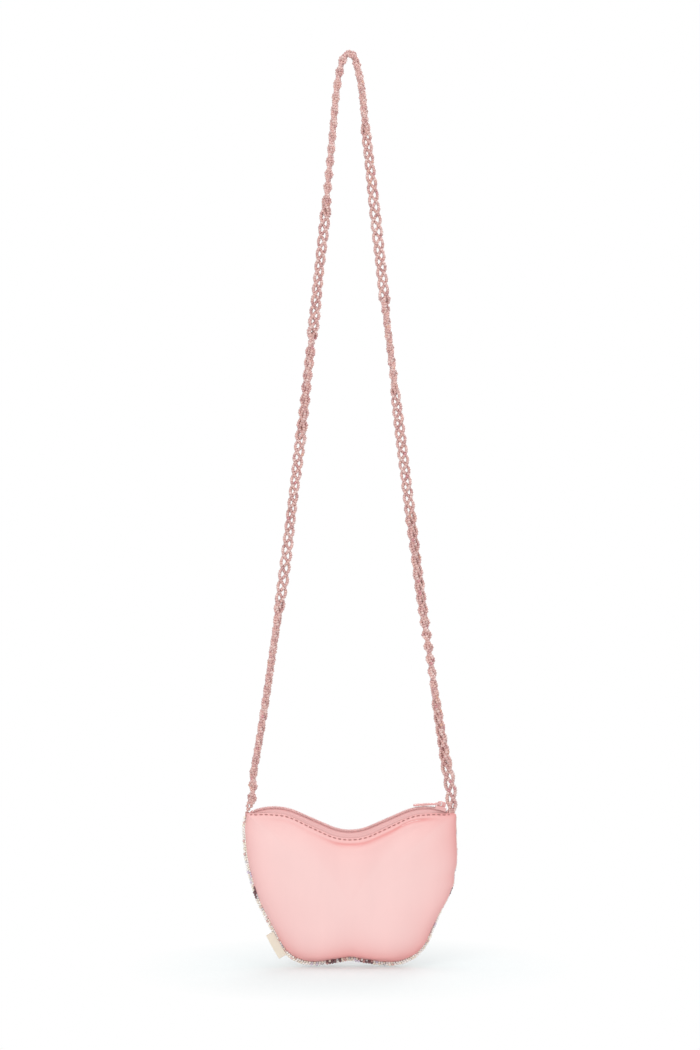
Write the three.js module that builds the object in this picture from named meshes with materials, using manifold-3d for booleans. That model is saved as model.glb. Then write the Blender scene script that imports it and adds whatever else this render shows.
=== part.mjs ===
// Beaded crossbody bag: a butterfly-shaped zip pouch on a long plaited strap of seed beads.
// Millimetres, +Z up. The origin is the point inside the strap's arch that the bag hangs from.
// +X runs to the right seen from the plain satin back, and +Y runs towards the beaded front.
// Inside the bag, heights are counted from the two crests of the zip.

import * as THREE from 'three';
import { mergeVertices } from 'three/addons/utils/BufferGeometryUtils.js';
import Module from 'manifold-3d';

const wasm = await Module();
wasm.setup();

// Top line of the zip: two crests and a valley, round, with straight flanks between them
const crestDrop = 562.5; // from the hang point down to the crests
const crestX = 57; // from the middle to a crest
const crestRadius = 44;
const valleyRadius = 37;
const valleyDepth = 17.5; // crests down to the valley
const cornerX = 79; // from the middle to a top corner

// Side and bottom edge of the beaded front, right half
const bagHeight = 119.6; // crests down to the lobes' lowest points
const lobeX = 28; // from the middle to a lobe's lowest point
const lobeInner = [12, 1.6]; // from the middle, and up from the lobes' lowest points
const notchRise = 3.4; // height of the notch between the two lobes
const sideEdge = [
  [1.6, 0.11], [0.2, 0.27], [-0.8, 0.365], [-3.6, 0.465],
  [-8.1, 0.58], [-17.1, 0.74], [-26.9, 0.9], [-37, 0.973],
]; // outwards from a corner, and share of the way from the corner down to the lobes

// Cloth layers
const backDepth = 11; // seam plane to the flat of the satin back
const frontDepth = 9.2; // seam plane to the flat of the front cloth
const clothThickness = 0.8;
const paddingThickness = 2;
const liningThickness = 0.5;
const beadThickness = 1.8;
const beadTopInset = 4.2; // front cloth's top edge down to the first beads
const borderWidth = 6; // band of beads round the edge
const borderRows = [1, 4]; // from the edge to the outer sides of the border's raised rows
const rowRise = 0.8; // height of a raised row of large beads over the others
const rowWidth = 2;
const rowPitch = 9.5; // from one raised row of a wing to the next
const wingRoot = 3; // middle of the bag to the point that a wing's rows go round
const bodyHalfWidth = 5.5; // beaded body between the two wings
const bodyHalfLength = 27;
const flatShare = 0.36; // part of a panel, from its middle, that lies flat
const seamRoundness = 4; // power of a panel's rounding at the side and bottom seams
const hemRoundness = 3; // power of a panel's rounding below the zip
const clearance = 0.3; // between neighbouring pieces

// Zip
const bandCrest = 5.3; // top line down to the cloth's edge, at the crests
const bandValley = 6.4;
const bandCorner = 2;
const bandTaper = 24; // length over which the band narrows towards a corner
const coilRadius = 1.05;
const webHalf = 0.15; // half thickness of the slider's wall between the coils
const coilSpread = coilRadius + webHalf + clearance; // middle of the zip to the middle of a coil
const coilSetback = 7.3; // corner to a coil's end, along the top line
const tapeThickness = 0.5;
const tapeTop = 0.95; // middle of the zip to the tape's top edge
const tapeSlope = THREE.MathUtils.degToRad(74); // from the coil down to the cloth's edge
const tapeTuck = 4.5; // depth of tape sewn under the cloth
const tuckGap = 0.9; // tape's lower edge to the padding and the lining
const tapeSetback = 5.4; // corner to a tape's end, along the top line
const stopLength = 1.1;
const stopWidth = 2.2;
const stitchInset = 1.1; // cloth's edge down to the stitches
const threadRadius = 0.22;
const stitchSetback = 6; // corner to the end of the stitches

// Slider, its bail and the pull
const sliderGap = 0.4; // from the top stops to the slider
const sliderLength = 8.4;
const flangeThickness = 0.5;
const flangeDepth = 1.85;
const sliderNarrow = coilSpread + coilRadius + clearance + flangeThickness; // half width at the closed end
const sliderFlare = 0.4; // how much wider the mouth is, on each side
const plateThickness = 0.9;
const keelHalf = 0.6; // half width of the lower plate
const keelThickness = 0.9;
const keelGap = 0.6; // from the coils' underside to the keel
const bailHalfLength = 3.2;
const bailHeight = 3.8;
const bailWall = 0.9;
const bailWidth = 1.9;
const pullLength = 20.5;
const pullThickness = 1.6;
const pullHalfWidth = 2.4;
const pullNeckHalf = 1.7;
const pullNeckLength = 4.8; // over which the eye narrows to the neck
const pullBar = 0.55; // half width of the bar that hangs in the bail
const pullEyeLength = 3.3;

// Label in the lower left seam
const labelRise = 16; // lobes' lowest points up to the label's middle
const labelWidth = 20;
const labelReach = 6.4;
const labelThickness = 0.8;

// Strap and its ends
const strapRadius = 2.8;
const tackSetback = 1.8; // corner to the middle of a tack
const tackRise = 1.4; // corner up to the tack's bar
const tackWire = 1; // thickness of a tack's thread
const eyeWire = 1.05; // thickness of the ring
const eyeThickness = 1.1;
const eyeStem = 5.7; // from the bar up to the eye's end
const tackGap = eyeThickness + 2 * clearance; // space inside a tack
const eyeInner = tackWire * Math.SQRT1_2 + clearance;
const eyeOuter = eyeInner + eyeWire;
const strapRoute = [
  [-77.0, -560.6], [-74.3, -547.5], [-69.3, -520.5], [-63.4, -484.5], [-58.1, -448.5], [-52.9, -412.5],
  [-47.9, -376.5], [-43.7, -340.5], [-39.2, -304.5], [-34.8, -268.5], [-31.0, -232.5], [-26.7, -196.5],
  [-23.1, -160.5], [-19.0, -124.5], [-15.8, -88.5], [-12.5, -52.5], [-10.0, -25.5], [-7.0, -8.0],
  [-4.3, 0.6], [-0.6, 3.2], [3.2, 0.6], [5.6, -8.0], [9.0, -25.5], [11.6, -52.5], [15.6, -88.5],
  [19.6, -124.5], [23.6, -160.5], [27.4, -196.5], [31.8, -232.5], [35.9, -268.5], [40.4, -304.5],
  [44.9, -340.5], [49.5, -376.5], [54.3, -412.5], [59.7, -448.5], [64.7, -484.5], [70.4, -520.5],
  [75.2, -547.5], [77.0, -560.6],
]; // x and z of the strap's middle line, from the left end over the arch to the right end

// Facets
const topSteps = 26;
const sideSteps = 15;
const ringShares = [1, 0.97, 0.9, 0.78, 0.58, flatShare];
const zipSteps = 38;
const coilSides = 8;
const threadSides = 5;
const stitchSteps = 48;
const sliderSteps = 6;
const strapSides = 8;
const strapSteps = 76;
const arcSteps = 4;
const ringSteps = 10;
const bodySteps = 28;
const rowStep = 11; // length of a straight piece of a wing's raised row
const rowSides = 14; // straight pieces of the smallest of them, all round
const facetTolerance = 0.1; // how far a cut solid's facets may move when small ones are joined
const labelSteps = 700; // points on the edge among which the label's seat is found

const { lerp, smoothstep } = THREE.MathUtils;

// Lengths along the top line, from the valley outwards
const radii = crestRadius + valleyRadius;
const centreRise = radii - valleyDepth;
const flankSlope = Math.atan2(crestX, centreRise) - Math.acos(radii / Math.hypot(crestX, centreRise));
const flankLength = Math.sqrt(crestX ** 2 + centreRise ** 2 - radii ** 2);
const valleyArc = valleyRadius * flankSlope;
const flankEnd = valleyArc + flankLength;
const crestAt = flankEnd + crestRadius * flankSlope;
const ridgeHalf = crestAt + crestRadius * Math.asin((cornerX - crestX) / crestRadius);

// Place and slope of the top line at a signed length from the valley.
function ridge(along) {
  const length = Math.abs(along);
  const side = along < 0 ? -1 : 1;
  const run = length - valleyArc;
  let slope = flankSlope;
  let x = valleyRadius * Math.sin(slope) + run * Math.cos(slope);
  let z = valleyRadius * (1 - Math.cos(slope)) - valleyDepth + run * Math.sin(slope);
  if (length < valleyArc) {
    slope = length / valleyRadius;
    x = valleyRadius * Math.sin(slope);
    z = valleyRadius * (1 - Math.cos(slope)) - valleyDepth;
  } else if (length > flankEnd) {
    slope = flankSlope - (length - flankEnd) / crestRadius;
    x = crestX - crestRadius * Math.sin(slope);
    z = crestRadius * (Math.cos(slope) - 1);
  }
  return { x: side * x, z, slope: side * slope };
}

// Point at depth v (along Y) and height w over the top line, square to it.
function onRidge(along, v, w) {
  const { x, z, slope } = ridge(along);
  return new THREE.Vector3(x - w * Math.sin(slope), v, z + w * Math.cos(slope));
}

// Height of zip band that shows above the cloth's edge.
function band(along) {
  const length = Math.abs(along);
  const open = lerp(bandValley, bandCrest, smoothstep(length, 0, crestAt));
  return lerp(open, bandCorner, smoothstep(length, ridgeHalf - bandTaper, ridgeHalf));
}

// A tape's half thickness and middle, measured along Y.
const tapeHalf = tapeThickness / 2 / Math.sin(tapeSlope);
const tapeRoot = -2 * coilRadius - clearance;
function tapeMiddle(w) {
  return tapeTop + (tapeRoot - w) / Math.tan(tapeSlope);
}

// Geometry from points and triangles, with its faces turned outwards.
function closed(points, triangles) {
  const volume = triangles.reduce((sum, [a, b, c]) => {
    const cross = new THREE.Vector3().crossVectors(points[b], points[c]);
    return sum + points[a].dot(cross);
  }, 0);
  const index = triangles.flatMap(([a, b, c]) => (volume < 0 ? [a, c, b] : [a, b, c]));
  const geometry = new THREE.BufferGeometry().setFromPoints(points);
  geometry.setIndex(index);
  geometry.computeVertexNormals();
  return geometry;
}

// Solid through a row of rings, each a list of as many points, closed by flat ends.
function loft(rings, outline) {
  const count = rings[0].length;
  const triangles = [];
  for (let r = 0; r + 1 < rings.length; r++) {
    for (let k = 0; k < count; k++) {
      const a = r * count + k;
      const b = r * count + ((k + 1) % count);
      triangles.push([a, b, b + count], [a, b + count, a + count]);
    }
  }
  const last = (rings.length - 1) * count;
  for (const [a, b, c] of THREE.ShapeUtils.triangulateShape(outline, [])) {
    triangles.push([a, c, b], [last + a, last + b, last + c]);
  }
  return closed(rings.flat(), triangles);
}

// Solid that follows the top line, with a section of [v, w] points for each length and share.
function alongRidge(from, to, steps, sectionAt) {
  const outline = sectionAt(from, 0).map(([v, w]) => new THREE.Vector2(v, w));
  const turned = THREE.ShapeUtils.isClockWise(outline);
  const rings = [];
  for (let k = 0; k <= steps; k++) {
    const along = lerp(from, to, k / steps);
    const ring = sectionAt(along, k / steps).map(([v, w]) => onRidge(along, v, w));
    rings.push(turned ? ring.reverse() : ring);
  }
  return loft(rings, turned ? outline.reverse() : outline);
}

function rectangle(v0, v1, w0, w1) {
  return [[v0, w0], [v1, w0], [v1, w1], [v0, w1]];
}

// Round section for a thread or tube.
function disc(radius, sides) {
  const corners = [];
  for (let k = 0; k < sides; k++) {
    const turn = (k / sides) * 2 * Math.PI;
    corners.push(new THREE.Vector2(radius * Math.cos(turn), radius * Math.sin(turn)));
  }
  return new THREE.Shape(corners);
}

// Outline of the pouch: the cloth's top edge from left to right, then the bead edge round the bottom.
const cornerPoint = onRidge(ridgeHalf, 0, -bandCorner);
const rightEdge = [
  [cornerPoint.x, cornerPoint.z],
  ...sideEdge.map(([out, share]) => [cornerPoint.x + out, lerp(cornerPoint.z, -bagHeight, share)]),
  [lobeX, -bagHeight],
  [lobeInner[0], lobeInner[1] - bagHeight],
];
const edgeCurve = new THREE.SplineCurve([
  ...rightEdge.map(([x, z]) => new THREE.Vector2(x, z)),
  new THREE.Vector2(0, notchRise - bagHeight),
  ...rightEdge.map(([x, z]) => new THREE.Vector2(-x, z)).reverse(),
]);
const topAlong = Array.from({ length: topSteps + 1 }, (_, k) => lerp(-ridgeHalf, ridgeHalf, k / topSteps));
const outline = [
  ...topAlong.map((along) => onRidge(along, 0, -band(along))).map(({ x, z }) => new THREE.Vector2(x, z)),
  ...edgeCurve.getSpacedPoints(2 * sideSteps).slice(1, -1),
];
const middle = new THREE.Vector2(0, -(valleyDepth + bandValley + bagHeight) / 2);

// Each outline point as a ray from the middle: its direction, length and lean to the edge's normal.
const rays = outline.map((point, k) => {
  const before = outline[(k + outline.length - 1) % outline.length];
  const after = outline[(k + 1) % outline.length];
  const normal = new THREE.Vector2(before.y - after.y, after.x - before.x).normalize();
  const ray = point.clone().sub(middle);
  const along = k <= topSteps ? topAlong[k] : ridgeHalf;
  return {
    direction: ray.clone().normalize(),
    length: ray.length(),
    lean: Math.abs(ray.clone().normalize().dot(normal)),
    along,
    top: k > 0 && k < topSteps,
    corner: k === 0 || k === topSteps,
    hem: smoothstep(ridgeHalf - Math.abs(along), 0, bandTaper),
  };
});

// A face of a cloth layer is, on each ray, a row of [distance from the middle, depth] from its edge inwards.
const seamDepth = clearance / 2;
const clothEdge = beadThickness + clearance;
const hemThickness = clothThickness / Math.sin(tapeSlope);
const hemDepth = (along) => tapeMiddle(-band(along)) + tapeHalf + clearance;

// Depth of the outer cloth at a share of the way to its edge: flat, then rounded down to the rim.
function swell(ray, share, rim, depth) {
  const outside = Math.max(0, (share - flatShare) / (1 - flatShare));
  const round = Math.sqrt(Math.max(0, 1 - outside ** seamRoundness));
  const soft = 1 - outside ** hemRoundness;
  return lerp(rim, depth, lerp(round, soft, ray.hem));
}

function clothFace(depth) {
  return rays.map((ray) => {
    const length = ray.length - (ray.top ? 0 : clothEdge / ray.lean);
    const rim = ray.top ? hemDepth(ray.along) + hemThickness : seamDepth;
    return ringShares.map((share) => [length * share, swell(ray, share, rim, depth)]);
  });
}

// Depth on a row of a face at a distance from the middle.
function depthOn(row, distance) {
  const next = row.findIndex(([far]) => far <= distance);
  if (next < 0) {
    return row.at(-1)[1];
  }
  const [far, depth] = row[next];
  const [before, edge] = row[Math.max(next - 1, 0)];
  return before === far ? depth : lerp(depth, edge, (distance - far) / (before - far));
}

// Row cut off at a distance: the points past it are spread between the cut and the next point.
function cutRow(row, distance) {
  const kept = row.findIndex(([far]) => far < distance);
  return row.map((point, k) => {
    const far = lerp(distance, row[kept][0], k / kept);
    return k < kept ? [far, depthOn(row, far)] : point;
  });
}

// Face that runs a given way inside another, and ends a given way below the cloth's top edge.
function inside(rows, by, topInset) {
  return rows.map((row, k) => {
    const { top, corner, length, lean } = rays[k];
    const moved = row.map(([far, depth]) => [far - by, Math.max(depth - by, seamDepth)]);
    if (!top) {
      moved[0][1] = seamDepth;
    }
    return by > 0 && (top || corner) ? cutRow(moved, length - topInset / lean) : moved;
  });
}

// Inner face of the outer cloth: its hem keeps to the zip tape.
function clothInside(rows) {
  return inside(rows, clothThickness, clothThickness).map((row, k) => {
    const hem = [rays[k].length, hemDepth(rays[k].along)];
    return rays[k].top ? [hem, ...row.slice(1)] : row;
  });
}

// Point of the bag on one ray, at a distance from the middle.
function onRay(k, distance, y) {
  const flat = rays[k].direction.clone().multiplyScalar(distance).add(middle);
  return new THREE.Vector3(flat.x, y, flat.y);
}

// Closed shell between an outer and an inner face. Sign -1 is the back of the bag, +1 its front.
function shell(outer, inner, sign) {
  const count = rays.length;
  const points = [];
  const triangles = [];
  for (const rows of [outer, inner]) {
    const base = points.length;
    for (let r = 0; r < ringShares.length; r++) {
      points.push(...rows.map((row, k) => onRay(k, row[r][0], sign * row[r][1])));
    }
    points.push(onRay(0, 0, sign * rows[0].at(-1)[1]));
    const hub = points.length - 1;
    for (let k = 0; k < count; k++) {
      const next = (k + 1) % count;
      const facets = [];
      for (let r = 0; r + 1 < ringShares.length; r++) {
        const near = base + r * count;
        const far = near + count;
        facets.push([near + k, near + next, far + next], [near + k, far + next, far + k]);
      }
      const inmost = base + (ringShares.length - 1) * count;
      facets.push([inmost + k, inmost + next, hub]);
      triangles.push(...(rows === outer ? facets : facets.map(([a, b, c]) => [a, c, b])));
    }
  }
  const innerBase = ringShares.length * count + 1;
  for (let k = 0; k < count; k++) {
    const next = (k + 1) % count;
    triangles.push([k, innerBase + k, innerBase + next], [k, innerBase + next, next]);
  }
  return closed(points, triangles);
}

// Cloth, padding and lining of one side, nested from the outside inwards.
function sideLayers(depth) {
  const top = tapeTuck + tuckGap;
  const underCloth = clothThickness + clearance;
  const underPadding = underCloth + paddingThickness + clearance;
  const clothOuter = clothFace(depth);
  return {
    clothOuter,
    clothInner: clothInside(clothOuter),
    paddingOuter: inside(clothOuter, underCloth, top),
    paddingInner: inside(clothOuter, underCloth + paddingThickness, top),
    liningOuter: inside(clothOuter, underPadding, top),
    liningInner: inside(clothOuter, underPadding + liningThickness, top),
  };
}
const back = sideLayers(backDepth);
const front = sideLayers(frontDepth);

// Solids for cutting
function solid(geometry) {
  const bare = geometry.clone();
  bare.deleteAttribute('normal');
  bare.deleteAttribute('uv');
  const merged = mergeVertices(bare);
  return new wasm.Manifold(
    new wasm.Mesh({
      numProp: 3,
      vertProperties: merged.attributes.position.array,
      triVerts: new Uint32Array(merged.index.array),
    }),
  );
}

// Geometry of a cut solid, without the flakes of no volume that a cut can leave.
function geometryOf(manifold) {
  const bodies = manifold.simplify(facetTolerance).decompose();
  const mesh = bodies.reduce((a, b) => (b.volume() > a.volume() ? b : a)).getMesh();
  const geometry = new THREE.BufferGeometry();
  geometry.setAttribute('position', new THREE.BufferAttribute(mesh.vertProperties, 3));
  geometry.setIndex(new THREE.BufferAttribute(mesh.triVerts, 1));
  geometry.computeVertexNormals();
  return geometry;
}

// Shape in the XZ plane, extruded along Y between two depths.
function upright(shape, y0, y1) {
  const geometry = new THREE.ExtrudeGeometry(shape, {
    depth: y1 - y0,
    bevelEnabled: false,
    curveSegments: arcSteps,
  });
  geometry.rotateX(Math.PI / 2);
  geometry.translate(0, y1, 0);
  return geometry;
}

// Bead layer of the front, cut into its border, two wings and the body between them
function beadPieces() {
  const beadDepth = frontDepth + clearance + beadThickness + rowRise;
  const prism = (sideInset, topInset) => {
    const corners = rays.map(({ top, corner, length, lean }, k) => {
      const inset = top || corner ? topInset : sideInset;
      return onRay(k, length - inset / lean, 0);
    });
    const shape = new THREE.Shape(corners.map(({ x, z }) => new THREE.Vector2(x, z)));
    return solid(upright(shape, -clearance, beadDepth + clearance));
  };
  const outer = inside(front.clothOuter, -clearance - beadThickness, 0);
  const inner = inside(front.clothOuter, -clearance, 0);
  const layer = solid(shell(outer, inner, 1)).intersect(prism(-beadThickness, beadTopInset));
  const spindle = (grown) => {
    const ellipse = new THREE.EllipseCurve(0, middle.y, bodyHalfWidth + grown, bodyHalfLength + grown);
    const shape = new THREE.Shape(ellipse.getPoints(bodySteps).slice(0, bodySteps));
    return solid(upright(shape, -clearance, beadDepth + clearance));
  };
  const frame = (inset) => prism(inset, beadTopInset + inset);

  // Raised rows of larger beads, rooted in the layer: bands along the edge and rings about a wing's root
  const root = inside(front.clothOuter, -clearance - beadThickness / 2, 0);
  const raised = solid(shell(inside(front.clothOuter, -clearance - beadThickness - rowRise, 0), root, 1));
  const edgeRows = borderRows.map((inset) => raised.intersect(frame(inset).subtract(frame(inset + rowWidth))));
  const ring = (side, reach) => {
    const sides = Math.max(rowSides, Math.round((2 * Math.PI * reach) / rowStep));
    const circle = (radius) =>
      new THREE.EllipseCurve(side * wingRoot, middle.y, radius, radius).getPoints(sides).slice(0, sides);
    const shape = new THREE.Shape(circle(reach + rowWidth / 2));
    shape.holes.push(new THREE.Path(circle(reach - rowWidth / 2)));
    return raised.intersect(solid(upright(shape, -clearance, beadDepth + clearance)));
  };

  const field = frame(borderWidth + clearance);
  const wing = (side) => {
    const box = new THREE.BoxGeometry(2 * cornerX, 4 * beadDepth, 2 * bagHeight);
    box.translate(side * (cornerX + clearance / 2), 0, middle.y);
    const place = field.subtract(spindle(clearance)).intersect(solid(box));
    const rows = [layer];
    for (let reach = rowPitch; reach < Math.hypot(cornerX, bagHeight / 2); reach += rowPitch) {
      rows.push(ring(side, reach));
    }
    return wasm.Manifold.union(rows).intersect(place);
  };
  return {
    bead_border: geometryOf(wasm.Manifold.union([layer, ...edgeRows]).subtract(frame(borderWidth))),
    bead_wing_left: geometryOf(wing(-1)),
    bead_wing_right: geometryOf(wing(1)),
    bead_body: geometryOf(layer.intersect(field).intersect(spindle(0))),
  };
}

// Zip tape on one side: a strip that slants from under the coil to the cloth's edge, then hangs straight.
function tape(sign) {
  const end = ridgeHalf - tapeSetback;
  const root = tapeMiddle(tapeRoot);
  return alongRidge(-end, end, zipSteps, (along) => {
    const edge = -band(along);
    const hung = tapeMiddle(edge);
    const outer = [[root + tapeHalf, tapeRoot], [hung + tapeHalf, edge], [hung + tapeHalf, edge - tapeTuck]];
    const inner = [[hung - tapeHalf, edge - tapeTuck], [hung - tapeHalf, edge], [root - tapeHalf, tapeRoot]];
    return [...outer, ...inner].map(([v, w]) => [sign * v, w]);
  });
}

function coil(sign) {
  const end = ridgeHalf - coilSetback;
  const section = disc(coilRadius, coilSides)
    .getPoints()
    .slice(0, coilSides)
    .map(({ x, y }) => [x + sign * coilSpread, y - coilRadius]);
  return alongRidge(-end, end, zipSteps, () => section);
}

// End stops: two crimps at the closed end, one staple over both coils at the other.
function topStop(sign) {
  const from = ridgeHalf - coilSetback + clearance;
  const inside = coilSpread - stopWidth / 2;
  const section = rectangle(sign * inside, sign * (inside + stopWidth), -2 * coilRadius, 0);
  return alongRidge(from, from + stopLength, 1, () => section);
}

function bottomStop() {
  const from = coilSetback - clearance - ridgeHalf;
  const reach = coilSpread + stopWidth / 2;
  return alongRidge(from - stopLength, from, 1, () => rectangle(-reach, reach, -2 * coilRadius, 0));
}

// Slider: a plate over the coils with side flanges, a wall between the coils and a keel below them.
const sliderAt = ridgeHalf - coilSetback - sliderGap - sliderLength / 2;
const plateBottom = clearance;
const plateTop = plateBottom + plateThickness;
function slider() {
  const keelTop = tapeRoot - keelGap;
  const from = sliderAt - sliderLength / 2;
  return alongRidge(from, from + sliderLength, sliderSteps, (along, share) => {
    const half = sliderNarrow + sliderFlare * share;
    const rightHalf = [
      [webHalf, plateBottom],
      [half - flangeThickness, plateBottom],
      [half - flangeThickness, plateBottom - flangeDepth],
      [half, plateBottom - flangeDepth],
      [half, plateTop],
    ];
    const foot = [
      [webHalf, keelTop],
      [keelHalf, keelTop],
      [keelHalf, keelTop - keelThickness],
    ];
    const right = [...foot.reverse(), ...rightHalf];
    const left = right.map(([v, w]) => [-v, w]).reverse();
    return [...right, ...left];
  });
}

// Bail: a crown along the slider with rounded shoulders, and a slot near one end that the pull's bar turns in.
const bailInside = bailHalfLength - bailWall;
const bailUnder = bailHeight - bailWall;
const barReach = Math.hypot(pullBar, pullThickness / 2);
const slotEnd = 2 * (barReach + clearance) - bailInside;
function bail() {
  const shape = new THREE.Shape();
  shape.moveTo(-bailHalfLength, 0);
  shape.lineTo(-bailInside, 0);
  shape.lineTo(-bailInside, bailUnder);
  shape.lineTo(slotEnd, bailUnder);
  shape.lineTo(slotEnd, 0);
  shape.lineTo(bailHalfLength, 0);
  shape.lineTo(bailHalfLength, bailUnder);
  shape.quadraticCurveTo(bailHalfLength, bailHeight, bailInside, bailHeight);
  shape.lineTo(-bailInside, bailHeight);
  shape.quadraticCurveTo(-bailHalfLength, bailHeight, -bailHalfLength, bailUnder);
  return upright(shape, -bailWidth / 2, bailWidth / 2);
}

// Pull tab: a flat tongue with a square eye round the bail and a round tip.
function pull() {
  const eyeEnd = pullBar + pullEyeLength;
  const eyeHalf = bailWidth / 2 + clearance;
  const tip = pullLength - pullHalfWidth;
  const bend = -eyeEnd - pullNeckLength / 2;
  const neck = -eyeEnd - pullNeckLength;
  const shape = new THREE.Shape();
  shape.moveTo(pullBar, -pullHalfWidth);
  shape.lineTo(pullBar, pullHalfWidth);
  shape.lineTo(-eyeEnd, pullHalfWidth);
  shape.quadraticCurveTo(bend, pullNeckHalf, neck, pullNeckHalf);
  shape.lineTo(-tip, pullHalfWidth);
  shape.absarc(-tip, 0, pullHalfWidth, Math.PI / 2, -Math.PI / 2, false);
  shape.lineTo(neck, -pullNeckHalf);
  shape.quadraticCurveTo(bend, -pullNeckHalf, -eyeEnd, -pullHalfWidth);
  shape.holes.push(
    new THREE.Path([
      new THREE.Vector2(-pullBar, -eyeHalf),
      new THREE.Vector2(-eyeEnd, -eyeHalf),
      new THREE.Vector2(-eyeEnd, eyeHalf),
      new THREE.Vector2(-pullBar, eyeHalf),
    ]),
  );
  const geometry = new THREE.ExtrudeGeometry(shape, {
    depth: pullThickness,
    bevelEnabled: false,
    curveSegments: ringSteps,
  });
  geometry.translate(0, 0, -pullThickness / 2);
  return geometry;
}

// The pull's bar lies in the bail's upper left corner, and the tongue lies on the crest of the zip.
const pivotAlong = barReach + clearance - bailInside;
const pivotUp = bailUnder - barReach - clearance;
const pivotHeight = crestRadius + plateTop + clearance + pivotUp;
const pivotRadius = Math.hypot(pivotHeight, pivotAlong);
const restRadius = crestRadius + clearance + pullThickness / 2;
const pullLean = Math.acos(restRadius / pivotRadius) + Math.atan2(-pivotAlong, pivotHeight);

// Thread of one row of stitches, lying on the cloth just below its top edge.
function topstitch(rows, sign) {
  const sewn = rays.map((ray, k) => ({ ...ray, k })).filter(
    ({ top, along }) => top && ridgeHalf - Math.abs(along) > stitchSetback - clearance,
  );
  const points = sewn.map(({ k, length, lean }) => {
    const distance = length - stitchInset / lean;
    return onRay(k, distance, sign * (depthOn(rows[k], distance) + clearance + threadRadius));
  });
  return new THREE.ExtrudeGeometry(disc(threadRadius, threadSides), {
    steps: stitchSteps,
    bevelEnabled: false,
    extrudePath: new THREE.CatmullRomCurve3(points),
  });
}

// Folded ribbon that stands out of the lower left seam, just behind the bead border.
function label() {
  const walk = edgeCurve.getSpacedPoints(labelSteps);
  const seat = walk.findIndex(({ x, y }) => x < -lobeX && y > labelRise - bagHeight);
  const tangent = walk[seat].clone().sub(walk[seat - 1]).normalize();
  const fold = labelThickness / 2;
  const shape = new THREE.Shape();
  shape.moveTo(0, -fold);
  shape.lineTo(labelReach - fold, -fold);
  shape.absarc(labelReach - fold, 0, fold, -Math.PI / 2, Math.PI / 2, false);
  shape.lineTo(0, fold);
  const geometry = new THREE.ExtrudeGeometry(shape, {
    depth: labelWidth,
    bevelEnabled: false,
    curveSegments: arcSteps,
  });
  geometry.translate(clearance - clothEdge, 0, -labelWidth / 2);
  const outward = new THREE.Vector3(-tangent.y, 0, tangent.x);
  const inY = new THREE.Vector3(0, 1, 0);
  const frame = new THREE.Matrix4().makeBasis(outward, inY, new THREE.Vector3().crossVectors(outward, inY));
  geometry.applyMatrix4(frame);
  geometry.translate(walk[seat].x, -fold - seamDepth - clearance, walk[seat].y);
  return geometry;
}

// Tack: a thread bar over two legs that end on the cloth at a top corner.
const corner = ridge(ridgeHalf);
const tackX = corner.x - tackSetback;
const tackZ = corner.z + tackRise;
const tackHalf = tackGap / 2 + tackWire;
function tackLegLength() {
  const inner = onRay(topSteps - 1, back.clothOuter[topSteps - 1][0][0], 0);
  const outer = onRay(topSteps, back.clothOuter[topSteps][0][0], 0);
  const share = (tackX - tackHalf - inner.x) / (outer.x - inner.x);
  return tackZ - lerp(inner.z, outer.z, share) - clearance;
}
function tack() {
  const tackLeg = tackLegLength();
  const shape = new THREE.Shape();
  shape.moveTo(-tackHalf, -tackLeg);
  shape.lineTo(-tackGap / 2, -tackLeg);
  shape.lineTo(-tackGap / 2, -tackWire / 2);
  shape.lineTo(tackGap / 2, -tackWire / 2);
  shape.lineTo(tackGap / 2, -tackLeg);
  shape.lineTo(tackHalf, -tackLeg);
  shape.lineTo(tackHalf, tackWire / 2);
  shape.lineTo(-tackHalf, tackWire / 2);
  return upright(shape, -tackWire / 2, tackWire / 2);
}

// Eye at a strap's end: a ring round the tack's bar with a stem up to the plait.
function eye() {
  const stemHalf = eyeWire;
  const spread = Math.asin(stemHalf / eyeOuter);
  const shape = new THREE.Shape();
  shape.absarc(0, 0, eyeOuter, Math.PI / 2 + spread, Math.PI / 2 - spread, false);
  shape.lineTo(stemHalf, eyeStem);
  shape.lineTo(-stemHalf, eyeStem);
  const hole = new THREE.Path();
  hole.absarc(0, 0, eyeInner, 0, 2 * Math.PI, true);
  shape.holes.push(hole);
  const geometry = new THREE.ExtrudeGeometry(shape, {
    depth: eyeThickness,
    bevelEnabled: false,
    curveSegments: ringSteps,
  });
  geometry.translate(0, 0, -eyeThickness / 2);
  geometry.rotateY(Math.PI / 2);
  geometry.rotateX(Math.PI / 2);
  return geometry;
}

function strap() {
  const route = strapRoute.map(([x, z]) => new THREE.Vector3(x, 0, z));
  return new THREE.ExtrudeGeometry(disc(strapRadius, strapSides), {
    steps: strapSteps,
    bevelEnabled: false,
    extrudePath: new THREE.CatmullRomCurve3(route),
  });
}

// Finishes
const satin = { color: 0xf6c4c4, roughness: 0.42, metalness: 0 };
const wadding = { color: 0xf3efe9, roughness: 0.95, metalness: 0 };
const lining = { color: 0xecc9c6, roughness: 0.8, metalness: 0 };
const frontCloth = { color: 0xf0cfcb, roughness: 0.85, metalness: 0 };
const pearlBeads = { color: 0xf1e8e2, roughness: 0.25, metalness: 0 };
const wingBeads = { color: 0xe8b7bd, roughness: 0.25, metalness: 0 };
const bodyBeads = { color: 0x7d5a60, roughness: 0.25, metalness: 0 };
const zipCloth = { color: 0xdd9c9b, roughness: 0.85, metalness: 0 };
const zipNylon = { color: 0xd99593, roughness: 0.5, metalness: 0 };
const zipMetal = { color: 0xe9a9a6, roughness: 0.35, metalness: 0.3 };
const thread = { color: 0xc98885, roughness: 0.8, metalness: 0 };
const ribbon = { color: 0xf4ead6, roughness: 0.8, metalness: 0 };
const strapBeads = { color: 0xdba09b, roughness: 0.3, metalness: 0 };

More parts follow.
